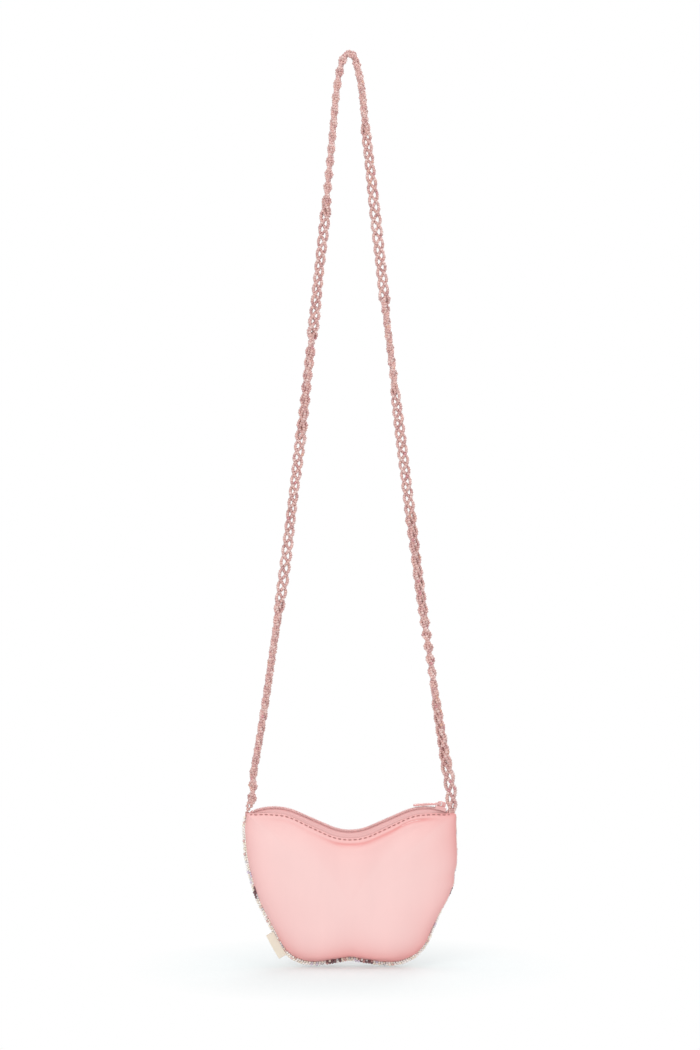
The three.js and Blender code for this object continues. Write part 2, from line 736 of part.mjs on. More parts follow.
function piece(name, geometry, finish) {
  const mesh = new THREE.Mesh(geometry, new THREE.MeshStandardMaterial(finish));
  mesh.name = name;
  return mesh;
}

// Pouch
const bag = new THREE.Group();
bag.position.z = -crestDrop;
bag.add(
  piece('back_panel', shell(back.clothOuter, back.clothInner, -1), satin),
  piece('back_padding', shell(back.paddingOuter, back.paddingInner, -1), wadding),
  piece('back_lining', shell(back.liningOuter, back.liningInner, -1), lining),
  piece('back_topstitch', topstitch(back.clothOuter, -1), thread),
  piece('front_panel', shell(front.clothOuter, front.clothInner, 1), frontCloth),
  piece('front_padding', shell(front.paddingOuter, front.paddingInner, 1), wadding),
  piece('front_lining', shell(front.liningOuter, front.liningInner, 1), lining),
  piece('front_topstitch', topstitch(front.clothOuter, 1), thread),
  piece('side_label', label(), ribbon),
);
const beadFinish = { bead_border: pearlBeads, bead_body: bodyBeads };
for (const [name, geometry] of Object.entries(beadPieces())) {
  bag.add(piece(name, geometry, beadFinish[name] ?? wingBeads));
}

// Zip
for (const [name, sign] of [['back', -1], ['front', 1]]) {
  bag.add(piece(`zip_tape_${name}`, tape(sign), zipCloth));
  bag.add(piece(`zip_coil_${name}`, coil(sign), zipNylon));
  bag.add(piece(`zip_top_stop_${name}`, topStop(sign), zipMetal));
}
bag.add(piece('zip_bottom_stop', bottomStop(), zipMetal), piece('zip_slider', slider(), zipMetal));

// The bail stands square on the slider, and the pull hangs in it.
const onSlider = new THREE.Group();
onSlider.position.copy(onRidge(sliderAt, 0, plateTop + clearance));
onSlider.rotation.y = -ridge(sliderAt).slope;
const pullFrame = new THREE.Group();
pullFrame.position.set(pivotAlong, 0, pivotUp);
pullFrame.rotation.y = -pullLean;
pullFrame.add(piece('zip_pull', pull(), zipMetal));
onSlider.add(piece('slider_bail', bail(), zipMetal), pullFrame);
bag.add(onSlider);

// Strap ends, one at each top corner
const object = new THREE.Group();
object.add(bag, piece('bead_strap', strap(), strapBeads));
for (const [name, side] of [['left', -1], ['right', 1]]) {
  const tackPiece = piece(`strap_tack_${name}`, tack(), thread);
  tackPiece.position.set(side * tackX, 0, tackZ);
  bag.add(tackPiece);
  const eyePiece = piece(`strap_eye_${name}`, eye(), thread);
  eyePiece.position.set(side * tackX, 0, tackZ - crestDrop);
  object.add(eyePiece);
}

export default object;
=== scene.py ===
"""Beaded crossbody bag: a butterfly-shaped zip pouch on a plaited strap of seed beads.

The pouch has a satin back and a beaded front. Lengths are in metres.
X points right, Y from the satin back to the beaded front, Z up.
The origin is the point in the strap's arch that the bag hangs from.
"""

import bpy
import numpy as np
from bpy.props import FloatProperty, FloatVectorProperty, PointerProperty
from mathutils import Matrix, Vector


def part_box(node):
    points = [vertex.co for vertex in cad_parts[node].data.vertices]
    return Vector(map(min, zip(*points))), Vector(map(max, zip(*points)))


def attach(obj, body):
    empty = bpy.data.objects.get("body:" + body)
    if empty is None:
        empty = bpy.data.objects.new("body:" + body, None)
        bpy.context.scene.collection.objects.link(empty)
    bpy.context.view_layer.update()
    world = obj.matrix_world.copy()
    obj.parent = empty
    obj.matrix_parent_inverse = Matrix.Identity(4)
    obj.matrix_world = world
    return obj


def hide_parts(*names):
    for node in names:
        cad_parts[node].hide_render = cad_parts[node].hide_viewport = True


bl_info = {
    "name": "Beaded crossbody bag",
    "version": (1, 0, 0),
    "blender": (4, 5, 0),
    "location": "View3D > Sidebar > Bag",
    "description": "Builds a satin and bead butterfly pouch with a zip and a plaited bead strap",
    "category": "Add Mesh",
}

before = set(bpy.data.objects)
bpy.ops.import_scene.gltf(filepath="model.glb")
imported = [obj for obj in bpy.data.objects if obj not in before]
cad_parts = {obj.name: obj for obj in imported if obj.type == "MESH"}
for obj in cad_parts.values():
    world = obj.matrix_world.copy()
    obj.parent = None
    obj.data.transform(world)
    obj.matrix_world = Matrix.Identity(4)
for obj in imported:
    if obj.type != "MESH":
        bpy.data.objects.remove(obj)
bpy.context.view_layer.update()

MM = 0.001
SEED = 41

# Top line of the pouch: a valley arc, straight flanks and two crest arcs
CREST_DROP = 562.5 * MM
CREST_X = 57 * MM
CREST_RADIUS = 44 * MM
VALLEY_RADIUS = 37 * MM
VALLEY_DEPTH = 17.5 * MM
CORNER_X = 79 * MM

# Side and bottom edge
BAG_HEIGHT = 119.6 * MM
LOBE_X = 28 * MM
LOBE_INNER = (12 * MM, 1.6 * MM)
NOTCH_RISE = 3.4 * MM
SIDE_EDGE = (
    (1.6, 0.11),
    (0.2, 0.27),
    (-0.8, 0.365),
    (-3.6, 0.465),
    (-8.1, 0.58),
    (-17.1, 0.74),
    (-26.9, 0.9),
    (-37, 0.973),
)  # outwards from the corner in millimetres, and share of the way down to the lobes

# How the sewn edge differs from the cut one: a way outwards, and where about the pouch's middle, in degrees
CORNER_LIFT = 1.7 * MM  # the sewn corners are drawn up to the strap
CORNER_OUT = (1.5 * MM, 2.2 * MM)  # and stand out to the left and right
CORNER_RUN = 9 * MM
SWELLS = ((3 * MM, (-64, -30, 20, 39.5)), (1.6 * MM, (138, 146, 154, 166)))
SEAM_GATHERS = ((-0.8 * MM, 15.5, 2.6), (0.7 * MM, 10, 3), (-1.1 * MM, -6, 8), (0.8 * MM, -27, 7))
# Satin that ends short of the bead edge, and satin that rolls past it, given in the same way
SATIN_SHORT = ((0.7 * MM, (140, 165, 200, 225)), (1.1 * MM, (200, 225, 315, 330)))
SATIN_PAST = (1.6 * MM, (-22, 2, 45, 60))

# Cloth layers
BACK = (11 * MM, 1)  # depth of a face, and 1 where it lies unevenly over the bead edge
FRONT = (9.2 * MM, 0)
CLOTH_THICKNESS = 0.8 * MM
PADDING_THICKNESS = 2 * MM
LINING_THICKNESS = 0.5 * MM
INNER_FACE = (0.55 * MM, 0.2 * MM)  # a cloth's inner face: this far under the outer one, and below its hem
BEAD_THICKNESS = 1.8 * MM
BEAD_TOP_INSET = 4.2 * MM
CLEARANCE = 0.3 * MM
FLAT_SHARE = 0.36
EDGE_SHARE = 0.88  # up to here the cloth follows a softened edge, and from here on it passes to its own
HEM_RUN = 7 * MM  # from a corner to the full hem
SQUARE_RUN = 2 * MM  # the same for the edge itself
CREASE_RUN = (3 * MM, 26 * MM)  # the zip's crease grows over this way from a corner
LEFT_CREASE = 0.25  # and is this weak on the left, as a share
CREASE_PLACE = (4.5 * MM, 1.15 * MM)  # way in from the cloth's edge, and half width
SWELL_PLACE = (8 * MM, 2.4 * MM)  # the same for the swell below it
GROOVE_DEPTH = 0.34 * MM  # where the stitches sink in
GROOVE_WIDTH = 0.6 * MM
EDGE_ROLL = 0.4 * MM
EDGE_ROLL_WIDTH = 0.8 * MM
STITCH_TUG = 0.07 * MM  # each stitch draws the cloth by this
STITCH_TUG_FADE = 2.2 * MM
SEAM_RADIUS = 62  # millimetres, turns an angle into a length along the seam
PUCKER_WAVE = 2.6 * MM
PUCKER_BEAT = 7 * MM
PUCKER_FADE = 4.5 * MM
STITCH_BOW = (0.24, 0.5)  # a stitch's height and the dip of its ends, in millimetres

# Beads of the front
BORDER_START = 0.25 * MM  # rim to the first row
BORDER_TOP_INSET = BEAD_TOP_INSET - 0.1 * MM
FIRST_ROW_DROP = 0.55 * MM  # the first row lies back against the seam
SEAM_ROW_ENDS = np.radians((-24, 143))  # the row in the seam runs round the bottom between these
SEAM_ROW_INSET = 2.35 * MM
SEAM_ROW_DEPTH = 0.35 * MM
BEAD_SEAT = 0.46  # a bead's middle above the cloth, as a share of its size
ROW_PITCH = 9.5 * MM  # from one raised row of a wing to the next
SMALL_ROWS = 4  # rows of small beads between them
WING_ROWS = 50
WING_ROOT = 3 * MM
WING_GAP = 1.1 * MM  # middle of the bag to a wing
BODY_HALF = (5.5 * MM, 27 * MM)  # half width and length of the beaded body
BODY_ROOM = (6.6 * MM, 28.2 * MM)  # kept free of wing beads
BODY_DOME = 0.8 * MM
# Dark beads of the border: way from the middle, height from the crests, and half height or half width
SIDE_PATCH = (60 * MM, -65 * MM, 4 * MM)
FOOT_PATCH = (12.5 * MM, -100 * MM, 5.5 * MM)
WING_LENGTH = 72 * MM  # over which the tint fades
LACE_WIDTH = 12.6 * MM  # rim to the end of the silver lace
WING_SPOTS = ((True, (43, 23), (12, 8)), (False, (34, -20), (10, 7.5)))  # upper half, middle, half axes
WING_VEINS = ((5.4, 1.5), (-74, 1.5), (32, 0.8), (50, 0.8), (-28, 0.8), (-50, 0.8))  # slant, half width
FINE_VEIN = 1  # a vein thinner than this, in millimetres, is short
FINE_VEIN_LENGTH = 46 * MM

# Zip band above the cloth, its tapes and coils
BAND_CREST = 5.3 * MM
BAND_VALLEY = 6.4 * MM
BAND_CORNER = 2 * MM
BAND_TAPER = 24 * MM
COIL_RADIUS = 1.05 * MM
COIL_SPREAD = 1.5 * MM
COIL_SETBACK = 7.3 * MM
COIL_WIRE = 0.3 * MM
TAPE_THICKNESS = 0.5 * MM
TAPE_TOP = 0.95 * MM
TAPE_HEAD = 0.8 * MM  # the tape starts this far up beside the coil
TAPE_SLOPE = np.radians(74)
TAPE_TUCK = 4.5 * MM
TUCK_GAP = 0.9 * MM
TAPE_SETBACK = 3.4 * MM
TAPE_RISE = 1.4 * MM  # past the coil's ends the tape stands up to the top line
TAPE_END_DROP = 0.8 * MM
RIB_RISE = 0.16 * MM
TAPE_RIBS = ((1, (0.9 * MM, 0.36 * MM)), (0.7, (2.6 * MM, 0.4 * MM)))  # share, place and half width
STOP_LENGTH = 1.1 * MM
STOP_WIDTH = 2.2 * MM

# Slider, bail and pull
SLIDER_LENGTH = 8.4 * MM
SLIDER_GAP = 0.4 * MM
SLIDER_NARROW = 3.35 * MM
SLIDER_FLARE = 0.4 * MM
FLANGE_THICKNESS = 0.5 * MM
FLANGE_DEPTH = 1.85 * MM
PLATE_BOTTOM = 0.3 * MM
PLATE_TOP = 1.2 * MM
KEEL_TOP = -3 * MM
KEEL_THICKNESS = 0.9 * MM
KEEL_HALF = 0.6 * MM
WEB_HALF = 0.15 * MM
BAIL_HALF_LENGTH = 3.2 * MM
BAIL_HEIGHT = 3.8 * MM
BAIL_WALL = 0.9 * MM
BAIL_WIDTH = 1.9 * MM
PULL_LENGTH = 20.5 * MM
PULL_THICKNESS = 1.6 * MM
PULL_HALF = 2.4 * MM
PULL_NECK_HALF = 1.7 * MM
PULL_NECK_LENGTH = 4.8 * MM
PULL_BAR = 0.55 * MM
PULL_EYE_LENGTH = 3.3 * MM
PULL_RIM = 0.55 * MM
PULL_ROUND = 0.22 * MM
PULL_BAR_RADIUS = 0.92 * MM

# Label
LABEL_RISE = 16 * MM
LABEL_WIDTH = 20 * MM
LABEL_REACH = 6.4 * MM
LABEL_FOLD = 0.27 * MM
LABEL_PLY = 0.22 * MM
LABEL_DEPTH = -0.85 * MM
LABEL_FRONT = -0.3 * MM  # the ribbon stays behind this plane
LABEL_WAVES = (0.35 * MM, 0.45 * MM)  # outwards and in depth

# Strap ends and strap
TACK_X = 77.2 * MM
TACK_Z = -566.995 * MM
TACK_HALF = 1.35 * MM
TACK_THREAD = 0.5 * MM
TACK_PLY = (0.47, 0.06)  # half thickness of the wound thread and its wave, in millimetres
TACK_WIND = 0.42 * MM
TACK_CLEAR = 4.4 * MM  # no bead is sewn nearer to a tack, where the strap turns when the bag swings
EYE_RING = 1.5 * MM
EYE_STEM = 5.7 * MM
EYE_SPREAD = 1.9 * MM
EYE_LEANS = {-1: -0.4, 1: -0.06}  # slant of an eye's legs, left and right
EYE_PLY = (0.44, 0.05)  # half thickness of an eye's thread and its wave, in millimetres
EYE_BARE = 1.9 * MM  # an eye's legs carry beads from this height above the tack on
STRAP_ROUTE = MM * np.array(
    [
        (-77, -560.6), (-74.3, -547.5), (-69.3, -520.5), (-63.4, -484.5), (-58.1, -448.5), (-52.9, -412.5),
        (-47.9, -376.5), (-43.7, -340.5), (-39.2, -304.5), (-34.8, -268.5), (-31, -232.5), (-26.7, -196.5),
        (-23.1, -160.5), (-19, -124.5), (-15.8, -88.5), (-12.5, -52.5), (-10, -25.5), (-7, -8), (-4.3, 0.6),
        (-0.6, 3.2), (3.2, 0.6), (5.6, -8), (9, -25.5), (11.6, -52.5), (15.6, -88.5), (19.6, -124.5),
        (23.6, -160.5), (27.4, -196.5), (31.8, -232.5), (35.9, -268.5), (40.4, -304.5), (44.9, -340.5),
        (49.5, -376.5), (54.3, -412.5), (59.7, -448.5), (64.7, -484.5), (70.4, -520.5), (75.2, -547.5),
        (77, -560.6),
    ]
)  # x and z from the left end over the arch to the right end
STRAP_LOOP_END = (77.2 * MM, -567 * MM)  # the plait's last loops reach down to the tack on the right
END_STANDS = ((2.7 * MM, 26 * MM), (0.8 * MM, 20 * MM))  # how far the ends stand in, and over which length
STAND_START = 3 * MM
ARCH_SETTLE = 1.5 * MM
ARCH_SPREAD = 11 * MM
STRAP_END_PHASE = np.radians(312)  # where in its round the first strand ends
LOOSE_SHARES = (0.955, 0.972)  # over this share of its length the plait opens
STRING_RADIUS = 0.22 * MM

# How far the flat plait is turned about its own line, in degrees, along the share of its length
STRAP_TURNS = np.array(
    [
        (0, 70), (0.02, 97), (0.06, 106), (0.1, 98), (0.125, 108), (0.137, 180), (0.235, 180), (0.25, 232),
        (0.28, 244), (0.3, 236), (0.312, 340), (0.385, 370), (0.4, 450), (0.545, 450), (0.556, 540),
        (0.66, 540), (0.668, 630), (0.718, 630), (0.726, 720), (0.797, 720), (0.812, 775), (0.835, 780),
        (0.845, 768), (0.868, 775), (0.88, 794), (0.915, 802), (0.928, 845), (0.965, 860), (0.975, 895),
        (1, 905),
    ]
)

# Stage
LENS = 100  # millimetres
SENSOR = 36  # millimetres
CAMERA_AT = (0, -2.1875, -0.35175)
CLIP = (0.05, 40)
ROOM_LIGHT = 0.55
LAMPS = (
    ("key_lamp", (-0.9, -1.9, 0.5), (0, 0, -0.55), 1.6, 16.9),
    ("fill_lamp", (1.3, -1.7, 0.1), (0, 0, -0.55), 1.5, 6.5),
    ("top_lamp", (0.1, 0.1, 1.3), (0, 0, -0.6), 1.2, 8.5),
    ("far_lamp", (0.6, 1.9, 0.3), (0, 0, -0.55), 1.4, 14),
)  # place, aim, size and power in watts
FLOOR_DROP = 1.2 * MM  # lobes down to the floor
FLOOR_HALF = 6
FLOOR_STEPS = 25
FLOOR_FADE = (0.06, 0.17, 0.24, 1)  # two distances from the middle, and the share of white at each
FLOOR_COLOUR = (0.88, 0.945, 0.95, 1)
GLASS_FLAW = (0.72, 0.62, 0.62)
WAVE_LENGTH = 0.314  # a wave texture of scale 1 repeats after this length


def linear(red, green, blue):
    """Screen colour in 8-bit steps as linear light.

    A part c is c / 12.92 below 0.04045, and ((c + 0.055) / 1.055) ** 2.4 above.
    """
    screen = np.array((red, green, blue)) / 255
    light = np.where(screen < 0.04045, screen / 12.92, ((screen + 0.055) / 1.055) ** 2.4)
    return tuple(float(part) for part in light)


def length(name, about, millimetres):
    """Length property, given in millimetres and held in metres."""
    return FloatProperty(
        name=name,
        description=about,
        default=millimetres * MM,
        min=0,
        precision=5,
        subtype="DISTANCE",
        unit="LENGTH",
    )


def colour(name, about, red, green, blue):
    """Colour property, given in screen values and held as linear light."""
    return FloatVectorProperty(
        name=name,
        description=about,
        default=linear(red, green, blue),
        min=0,
        max=1,
        subtype="COLOR",
    )


class BagSizes(bpy.types.PropertyGroup):
    """Sizes of the pouch's cloth, stitching and beads."""

    puff: length("Puff", "Height of the soft unevenness of the satin", 0.3)
    pucker: length("Pucker", "Height of the puckers along the seam", 0.28)
    crease: length("Crease", "Depth of the soft crease below the stitching", 0.75)
    stitch_inset: length("Stitch inset", "Cloth edge to the row of stitches", 1.1)
    stitch_pitch: length("Stitch pitch", "From one stitch to the next", 3.9)
    stitch_length: length("Stitch length", "Thread that shows in one stitch", 2.1)
    thread_radius: length("Thread radius", "Half the thickness of the sewing thread", 0.46)
    rim_bead: length("Rim bead", "Diameter of a bead of the border", 2)
    wing_bead: length("Wing bead", "Diameter of a bead of the wings", 1.75)
    row_bead: length("Row bead", "Diameter of a bead of the raised rows", 2.6)
    body_bead: length("Body bead", "Diameter of a bead of the body", 2.3)
    coil_pitch: length("Coil pitch", "From one turn of the zip's coil to the next", 1.25)


class StrapSizes(bpy.types.PropertyGroup):
    """Sizes of the plaited strap."""

    bead: length("Bead", "Diameter of a seed bead", 2.5)
    bead_pitch: length("Bead pitch", "From one bead to the next on its string", 1.95)
    pair: length("Pair", "Half the way between the two strings of a strand", 0.7)
    sway: length("Sway", "Half the width that a strand sways over in the plait", 3.1)
    lift: length("Lift", "Half the height that a strand rises and dips by", 1)
    round: length("Round", "Length of strap in which a strand comes back to its side", 25.8)
    edge_round: length("Edge round", "The same where the plait is turned on its edge", 29)
    loose_round: length("Loose round", "The same where the plait opens at the right end", 37)


class BagColours(bpy.types.PropertyGroup):
    """Colours of the bag's finishes."""

    satin: colour("Satin", "Outer cloth of the back", 251, 209, 206)
    # Painted shade: the deeper pink that the satin is blended to along its seam, in the zip's groove and
    # crease, and over its edges
    satin_painted_shade: colour("Satin painted shade", "Satin where it rolls into the seam", 236, 158, 155)
    front_cloth: colour("Front cloth", "Base cloth under the beads", 240, 207, 203)
    lining: colour("Lining", "Inner pocket", 236, 201, 198)
    wadding: colour("Wadding", "Padding between cloth and lining", 243, 239, 233)
    tape: colour("Zip tape", "Woven tape of the zip", 246, 196, 193)
    # Painted shade: the tape is blended to this colour beside the coil and away from its ribs
    tape_shade: colour("Zip tape shade", "Tape in its grooves and beside the coil", 230, 172, 171)
    nylon: colour("Coil", "Nylon coil of the zip", 232, 180, 177)
    metal: colour("Slider", "Paint on the slider, pull and stops", 226, 164, 161)
    # Painted highlight: the lighter colour that the paint finish lays on sharp edges
    metal_edge_highlight: colour("Slider edge", "Painted highlight on sharp edges", 243, 208, 204)
    thread: colour("Thread", "Sewing thread of the stitches", 190, 126, 122)
    tack_thread: colour("Tack thread", "Thread of the tacks and strap eyes", 216, 158, 152)
    ribbon: colour("Ribbon", "Folded label, left blank", 242, 230, 212)
    rose: colour("Rose bead", "Most of the strap's beads", 221, 175, 169)
    salmon: colour("Salmon bead", "Strap bead", 225, 179, 170)
    blush: colour("Blush bead", "Light strap bead", 233, 197, 190)
    mauve: colour("Mauve bead", "Dark strap bead", 204, 153, 150)
    hot_pink: colour("Bright bead", "Rare bright strap bead", 214, 146, 150)
    apricot: colour("Apricot bead", "Rare orange strap bead", 224, 172, 152)
    pearl: colour("Pearl bead", "Border bead", 250, 245, 240)
    cream: colour("Cream bead", "Border bead", 246, 236, 220)
    silver: colour("Silver bead", "Border bead", 216, 213, 215)
    lilac: colour("Lilac bead", "Border bead", 222, 210, 228)
    brown: colour("Brown bead", "Dark bead of the veins and body", 122, 84, 88)
    wing_root: colour("Wing root", "Wing bead near the body", 208, 116, 130)
    wing_tip: colour("Wing tip", "Wing bead near the border", 243, 206, 207)


# Shape of the pouch as numbers

def eased(value, low, high):
    """Smooth step: 0 up to low, 1 from high on, 3 t^2 - 2 t^3 between."""
    t = np.clip((value - low) / (high - low), 0, 1)
    return t * t * (3 - 2 * t)


def hump(value, middle, width):
    """Bell exp(-d^2), with d counted from the middle in widths."""
    return np.exp(-(((value - middle) / width) ** 2))


def window(angle, start, full, fade, end):
    """Smooth window over the angle, in degrees: 0 up to start, 1 from full to fade, 0 from end."""
    turn = np.degrees(angle)
    return eased(turn, start, full) * (1 - eased(turn, fade, end))


def mix(a, b, share):
    """a at share 0, b at share 1, straight between."""
    return a + (b - a) * share


RADII = CREST_RADIUS + VALLEY_RADIUS
CENTRE_RISE = RADII - VALLEY_DEPTH
FLANK_SLOPE = np.arctan2(CREST_X, CENTRE_RISE) - np.arccos(RADII / np.hypot(CREST_X, CENTRE_RISE))
FLANK_LENGTH = np.sqrt(CREST_X**2 + CENTRE_RISE**2 - RADII**2)
VALLEY_ARC = VALLEY_RADIUS * FLANK_SLOPE
FLANK_END = VALLEY_ARC + FLANK_LENGTH
CREST_AT = FLANK_END + CREST_RADIUS * FLANK_SLOPE
RIDGE_HALF = CREST_AT + CREST_RADIUS * np.arcsin((CORNER_X - CREST_X) / CREST_RADIUS)
FOOT_Z = -CREST_DROP - BAG_HEIGHT
MIDDLE_Z = -CREST_DROP - (VALLEY_DEPTH + BAND_VALLEY + BAG_HEIGHT) / 2
TAPE_HALF = TAPE_THICKNESS / 2 / np.sin(TAPE_SLOPE)
TAPE_ROOT = -2 * COIL_RADIUS - CLEARANCE
SEAM_DEPTH = CLEARANCE / 2
CLOTH_EDGE = BEAD_THICKNESS + CLEARANCE
HEM_THICKNESS = CLOTH_THICKNESS / np.sin(TAPE_SLOPE)
BAR_REACH = np.hypot(PULL_BAR, PULL_THICKNESS / 2)


def ridge(along):
    """X, Z and slope of the top line at a length from its middle: valley arc, straight flank, crest arc."""
    side, far = np.where(along < 0, -1.0, 1.0), np.abs(along)
    bend = np.minimum(far, VALLEY_ARC) / VALLEY_RADIUS
    run = np.clip(far - VALLEY_ARC, 0, FLANK_LENGTH)
    over = FLANK_SLOPE - np.maximum(far - FLANK_END, 0) / CREST_RADIUS
    low = far < FLANK_END
    low_x = VALLEY_RADIUS * np.sin(bend) + run * np.cos(FLANK_SLOPE)
    low_z = VALLEY_RADIUS * (1 - np.cos(bend)) - VALLEY_DEPTH + run * np.sin(FLANK_SLOPE)
    x = np.where(low, low_x, CREST_X - CREST_RADIUS * np.sin(over))
    z = np.where(low, low_z, CREST_RADIUS * (np.cos(over) - 1))
    return side * x, z - CREST_DROP, side * np.where(low, bend, over)


def on_ridge(along, across, above):
    """Point at a length along the top line, a way across it in Y and a height square to it."""
    x, z, slope = ridge(along)
    x, y, z = np.broadcast_arrays(x - above * np.sin(slope), across, z + above * np.cos(slope))
    return np.stack([x, y, z], -1)


def band(along):
    """Height of zip band above the cloth: from the valley's to the crest's, then down to the corner's."""
    far = np.abs(along)
    open_band = mix(BAND_VALLEY, BAND_CREST, eased(far, 0, CREST_AT))
    return mix(open_band, BAND_CORNER, eased(far, RIDGE_HALF - BAND_TAPER, RIDGE_HALF))


def tape_middle(above):
    """Distance of a tape's middle from the zip's plane at a height: it slants outwards below its root."""
    return TAPE_TOP + (TAPE_ROOT - above) / np.tan(TAPE_SLOPE)


def through(points, steps):
    """Uniform Catmull-Rom curve: each span is the cubic whose end slopes are half its neighbours' chord."""
    p = np.vstack([points[:1], points, points[-1:]])
    t = np.linspace(0, 1, steps, endpoint=False)[:, None, None]
    a, b, c, d = p[:-3], p[1:-2], p[2:-1], p[3:]
    span = 0.5 * (
        2 * b + (c - a) * t + (2 * a - 5 * b + 4 * c - d) * t**2 + (3 * b - a - 3 * c + d) * t**3
    )
    return np.vstack([span.transpose(1, 0, 2).reshape(-1, points.shape[1]), points[-1:]])


def lengths(line):
    """Length along a line of close points to each of them, by their first three columns."""
    steps = np.linalg.norm(np.diff(line[:, :3], axis=0), axis=1)
    return np.concatenate([[0], np.cumsum(steps)])


def spaced(points, step, closed=False):
    """Points at equal steps of length along a line of close points, and how far along each one is."""
    line = np.vstack([points, points[:1]]) if closed else points
    run = lengths(line)
    count = max(2, int(round(run[-1] / step)))
    at = np.linspace(0, run[-1], count, endpoint=not closed)
    return np.stack([np.interp(at, run, column) for column in line.T], -1), at


def outline():
    """Edge of the pouch in X and Z: the cloth's top edge from left to right, then the curve round the bottom.

    A smooth step lifts the top edge to its corners and draws it out sideways.
    """
    along = np.linspace(-RIDGE_HALF, RIDGE_HALF, 1601)
    top = on_ridge(along, 0, -band(along))[:, [0, 2]]
    corner = top[-1].copy()
    at_corner = eased(np.abs(along), RIDGE_HALF - CORNER_RUN, RIDGE_HALF)
    top[:, 1] += CORNER_LIFT * at_corner
    top[:, 0] += np.where(along < 0, -CORNER_OUT[0], CORNER_OUT[1]) * at_corner
    side = [(corner[0] + out * MM, mix(corner[1], FOOT_Z, share)) for out, share in SIDE_EDGE]
    side = np.array([corner] + side + [(LOBE_X, FOOT_Z), (LOBE_INNER[0], FOOT_Z + LOBE_INNER[1])])
    notch = np.array([(0, FOOT_Z + NOTCH_RISE)])
    left, right = side * (-1, 1), side.copy()
    left[0, 0] -= CORNER_OUT[0]
    right[0, 0] += CORNER_OUT[1]
    bottom = through(np.vstack([top[-1:], right, notch, left[::-1], top[:1]]), 60)
    return along, top, bottom


TOP_ALONG, TOP_EDGE, BOTTOM_EDGE = outline()
ANGLES = np.linspace(-np.pi, np.pi, 7200, endpoint=False)


def edge_tables():
    """Tables over the angle about the pouch's middle.

    Reach to the edge, lean of the ray to the edge's normal, 1 / sqrt(1 + (reach' / reach)^2),
    length along the top line, and the share of top hem, which grows from the corners over HEM_RUN,
    or over SQUARE_RUN for the edge itself. Swells and gathers are then added to the reach.
    """
    points = np.vstack([TOP_EDGE, BOTTOM_EDGE[1:-1]]) - (0, MIDDLE_Z)
    along = np.concatenate([np.abs(TOP_ALONG), np.full(len(BOTTOM_EDGE) - 2, RIDGE_HALF)])
    angle = np.arctan2(points[:, 1], points[:, 0])
    order = np.argsort(angle)
    reach = np.interp(ANGLES, angle[order], np.hypot(*points.T)[order], period=2 * np.pi)
    far = np.interp(ANGLES, angle[order], along[order], period=2 * np.pi)
    rate = np.gradient(reach, ANGLES)
    lean = 1 / np.sqrt(1 + (rate / reach) ** 2)
    upper = np.abs(ANGLES - np.pi / 2) < np.pi / 2
    top = np.where(upper, eased(RIDGE_HALF - far, 0, HEM_RUN), 0)
    square = np.where(upper, eased(RIDGE_HALF - far, 0, SQUARE_RUN), 0)
    for out, where in SWELLS:
        reach = reach + out * window(ANGLES, *where)
    for out, middle, wide in SEAM_GATHERS:
        reach = reach + out * hump(np.degrees(ANGLES), middle, wide)
    return reach, lean, far, top, square


def soft_round(table, degrees):
    """Table smoothed over the angle by a Gaussian: its wave n is scaled by exp(-(n * width)^2 / 2)."""
    waves = np.fft.rfft(table)
    scale = np.exp(-0.5 * (np.arange(len(waves)) * np.radians(degrees)) ** 2)
    return np.fft.irfft(waves * scale, len(table))


REACH, LEAN, FAR, TOP, SQUARE_TOP = edge_tables()
LEAN = soft_round(LEAN, 2.5)
SOFT_REACH = soft_round(REACH, 11)


def at_angle(table, angle):
    """Value of a table at an angle about the pouch's middle."""
    return np.interp(angle, ANGLES, table, period=2 * np.pi)


def cloth(angle, share, side, under=0.0, top_inset=0.0):
    """Distance from the middle and depth of a cloth face at a share of the way to its edge.

    The face is flat up to FLAT_SHARE, then falls to the rim: by sqrt(1 - t^4) at the seam and by 1 - t^3
    at the zip's hem. A layer under it is drawn in and down by the same length, and ends below the hem.
    """
    depth, uneven = side
    reach, lean, top = at_angle(REACH, angle), at_angle(LEAN, angle), at_angle(TOP, angle)
    far = at_angle(FAR, angle)
    hem = eased(RIDGE_HALF - far, 0, BAND_TAPER) * (top > 0)
    way_round = np.mod(angle, 2 * np.pi)
    short = sum(out * window(way_round, *where) for out, where in SATIN_SHORT)
    past = SATIN_PAST[0] * window(angle, *SATIN_PAST[1])
    seam_inset = CLOTH_EDGE + uneven * (short - past)
    seam_inset = seam_inset * (1 - at_angle(SQUARE_TOP, angle))
    edge = reach - seam_inset / lean - top * top_inset / lean
    hem_depth = tape_middle(-band(far)) + TAPE_HALF + CLEARANCE + HEM_THICKNESS
    rim = mix(SEAM_DEPTH, hem_depth, top)
    full = edge / (reach - seam_inset / lean)
    t = np.clip((share * full - FLAT_SHARE) / (1 - FLAT_SHARE), 0, 1)
    fall = mix(np.sqrt(np.clip(1 - t**4, 0, 1)), 1 - t**3, hem)
    deep = np.maximum(mix(rim, depth, fall) - under, SEAM_DEPTH)
    inner = at_angle(SOFT_REACH, angle) - CLOTH_EDGE - top * top_inset / lean
    return (mix(inner, edge, eased(share, EDGE_SHARE, 1)) - under) * share, deep


def share_at(angle, far, side):
    """Share of the way to the edge at a distance from the middle, and the edge's own distance.

    Each round scales the share by the distance asked for over the distance reached.
    """
    edge, _ = cloth(angle, np.ones_like(angle), side)
    share = np.clip(far / edge, 0, 1)
    for _ in range(4):
        reached, _ = cloth(angle, np.maximum(share, 1e-3), side)
        share = np.clip(share * far / np.maximum(reached, 1e-6), 1e-3, 1)
    return share, edge


def from_middle(angle, distance, y):
    """Point at an angle and distance from the pouch's middle, in a plane of depth y."""
    x, y, z = np.broadcast_arrays(distance * np.cos(angle), y, MIDDLE_Z + distance * np.sin(angle))
    return np.stack([x, y, z], -1)


# Meshes

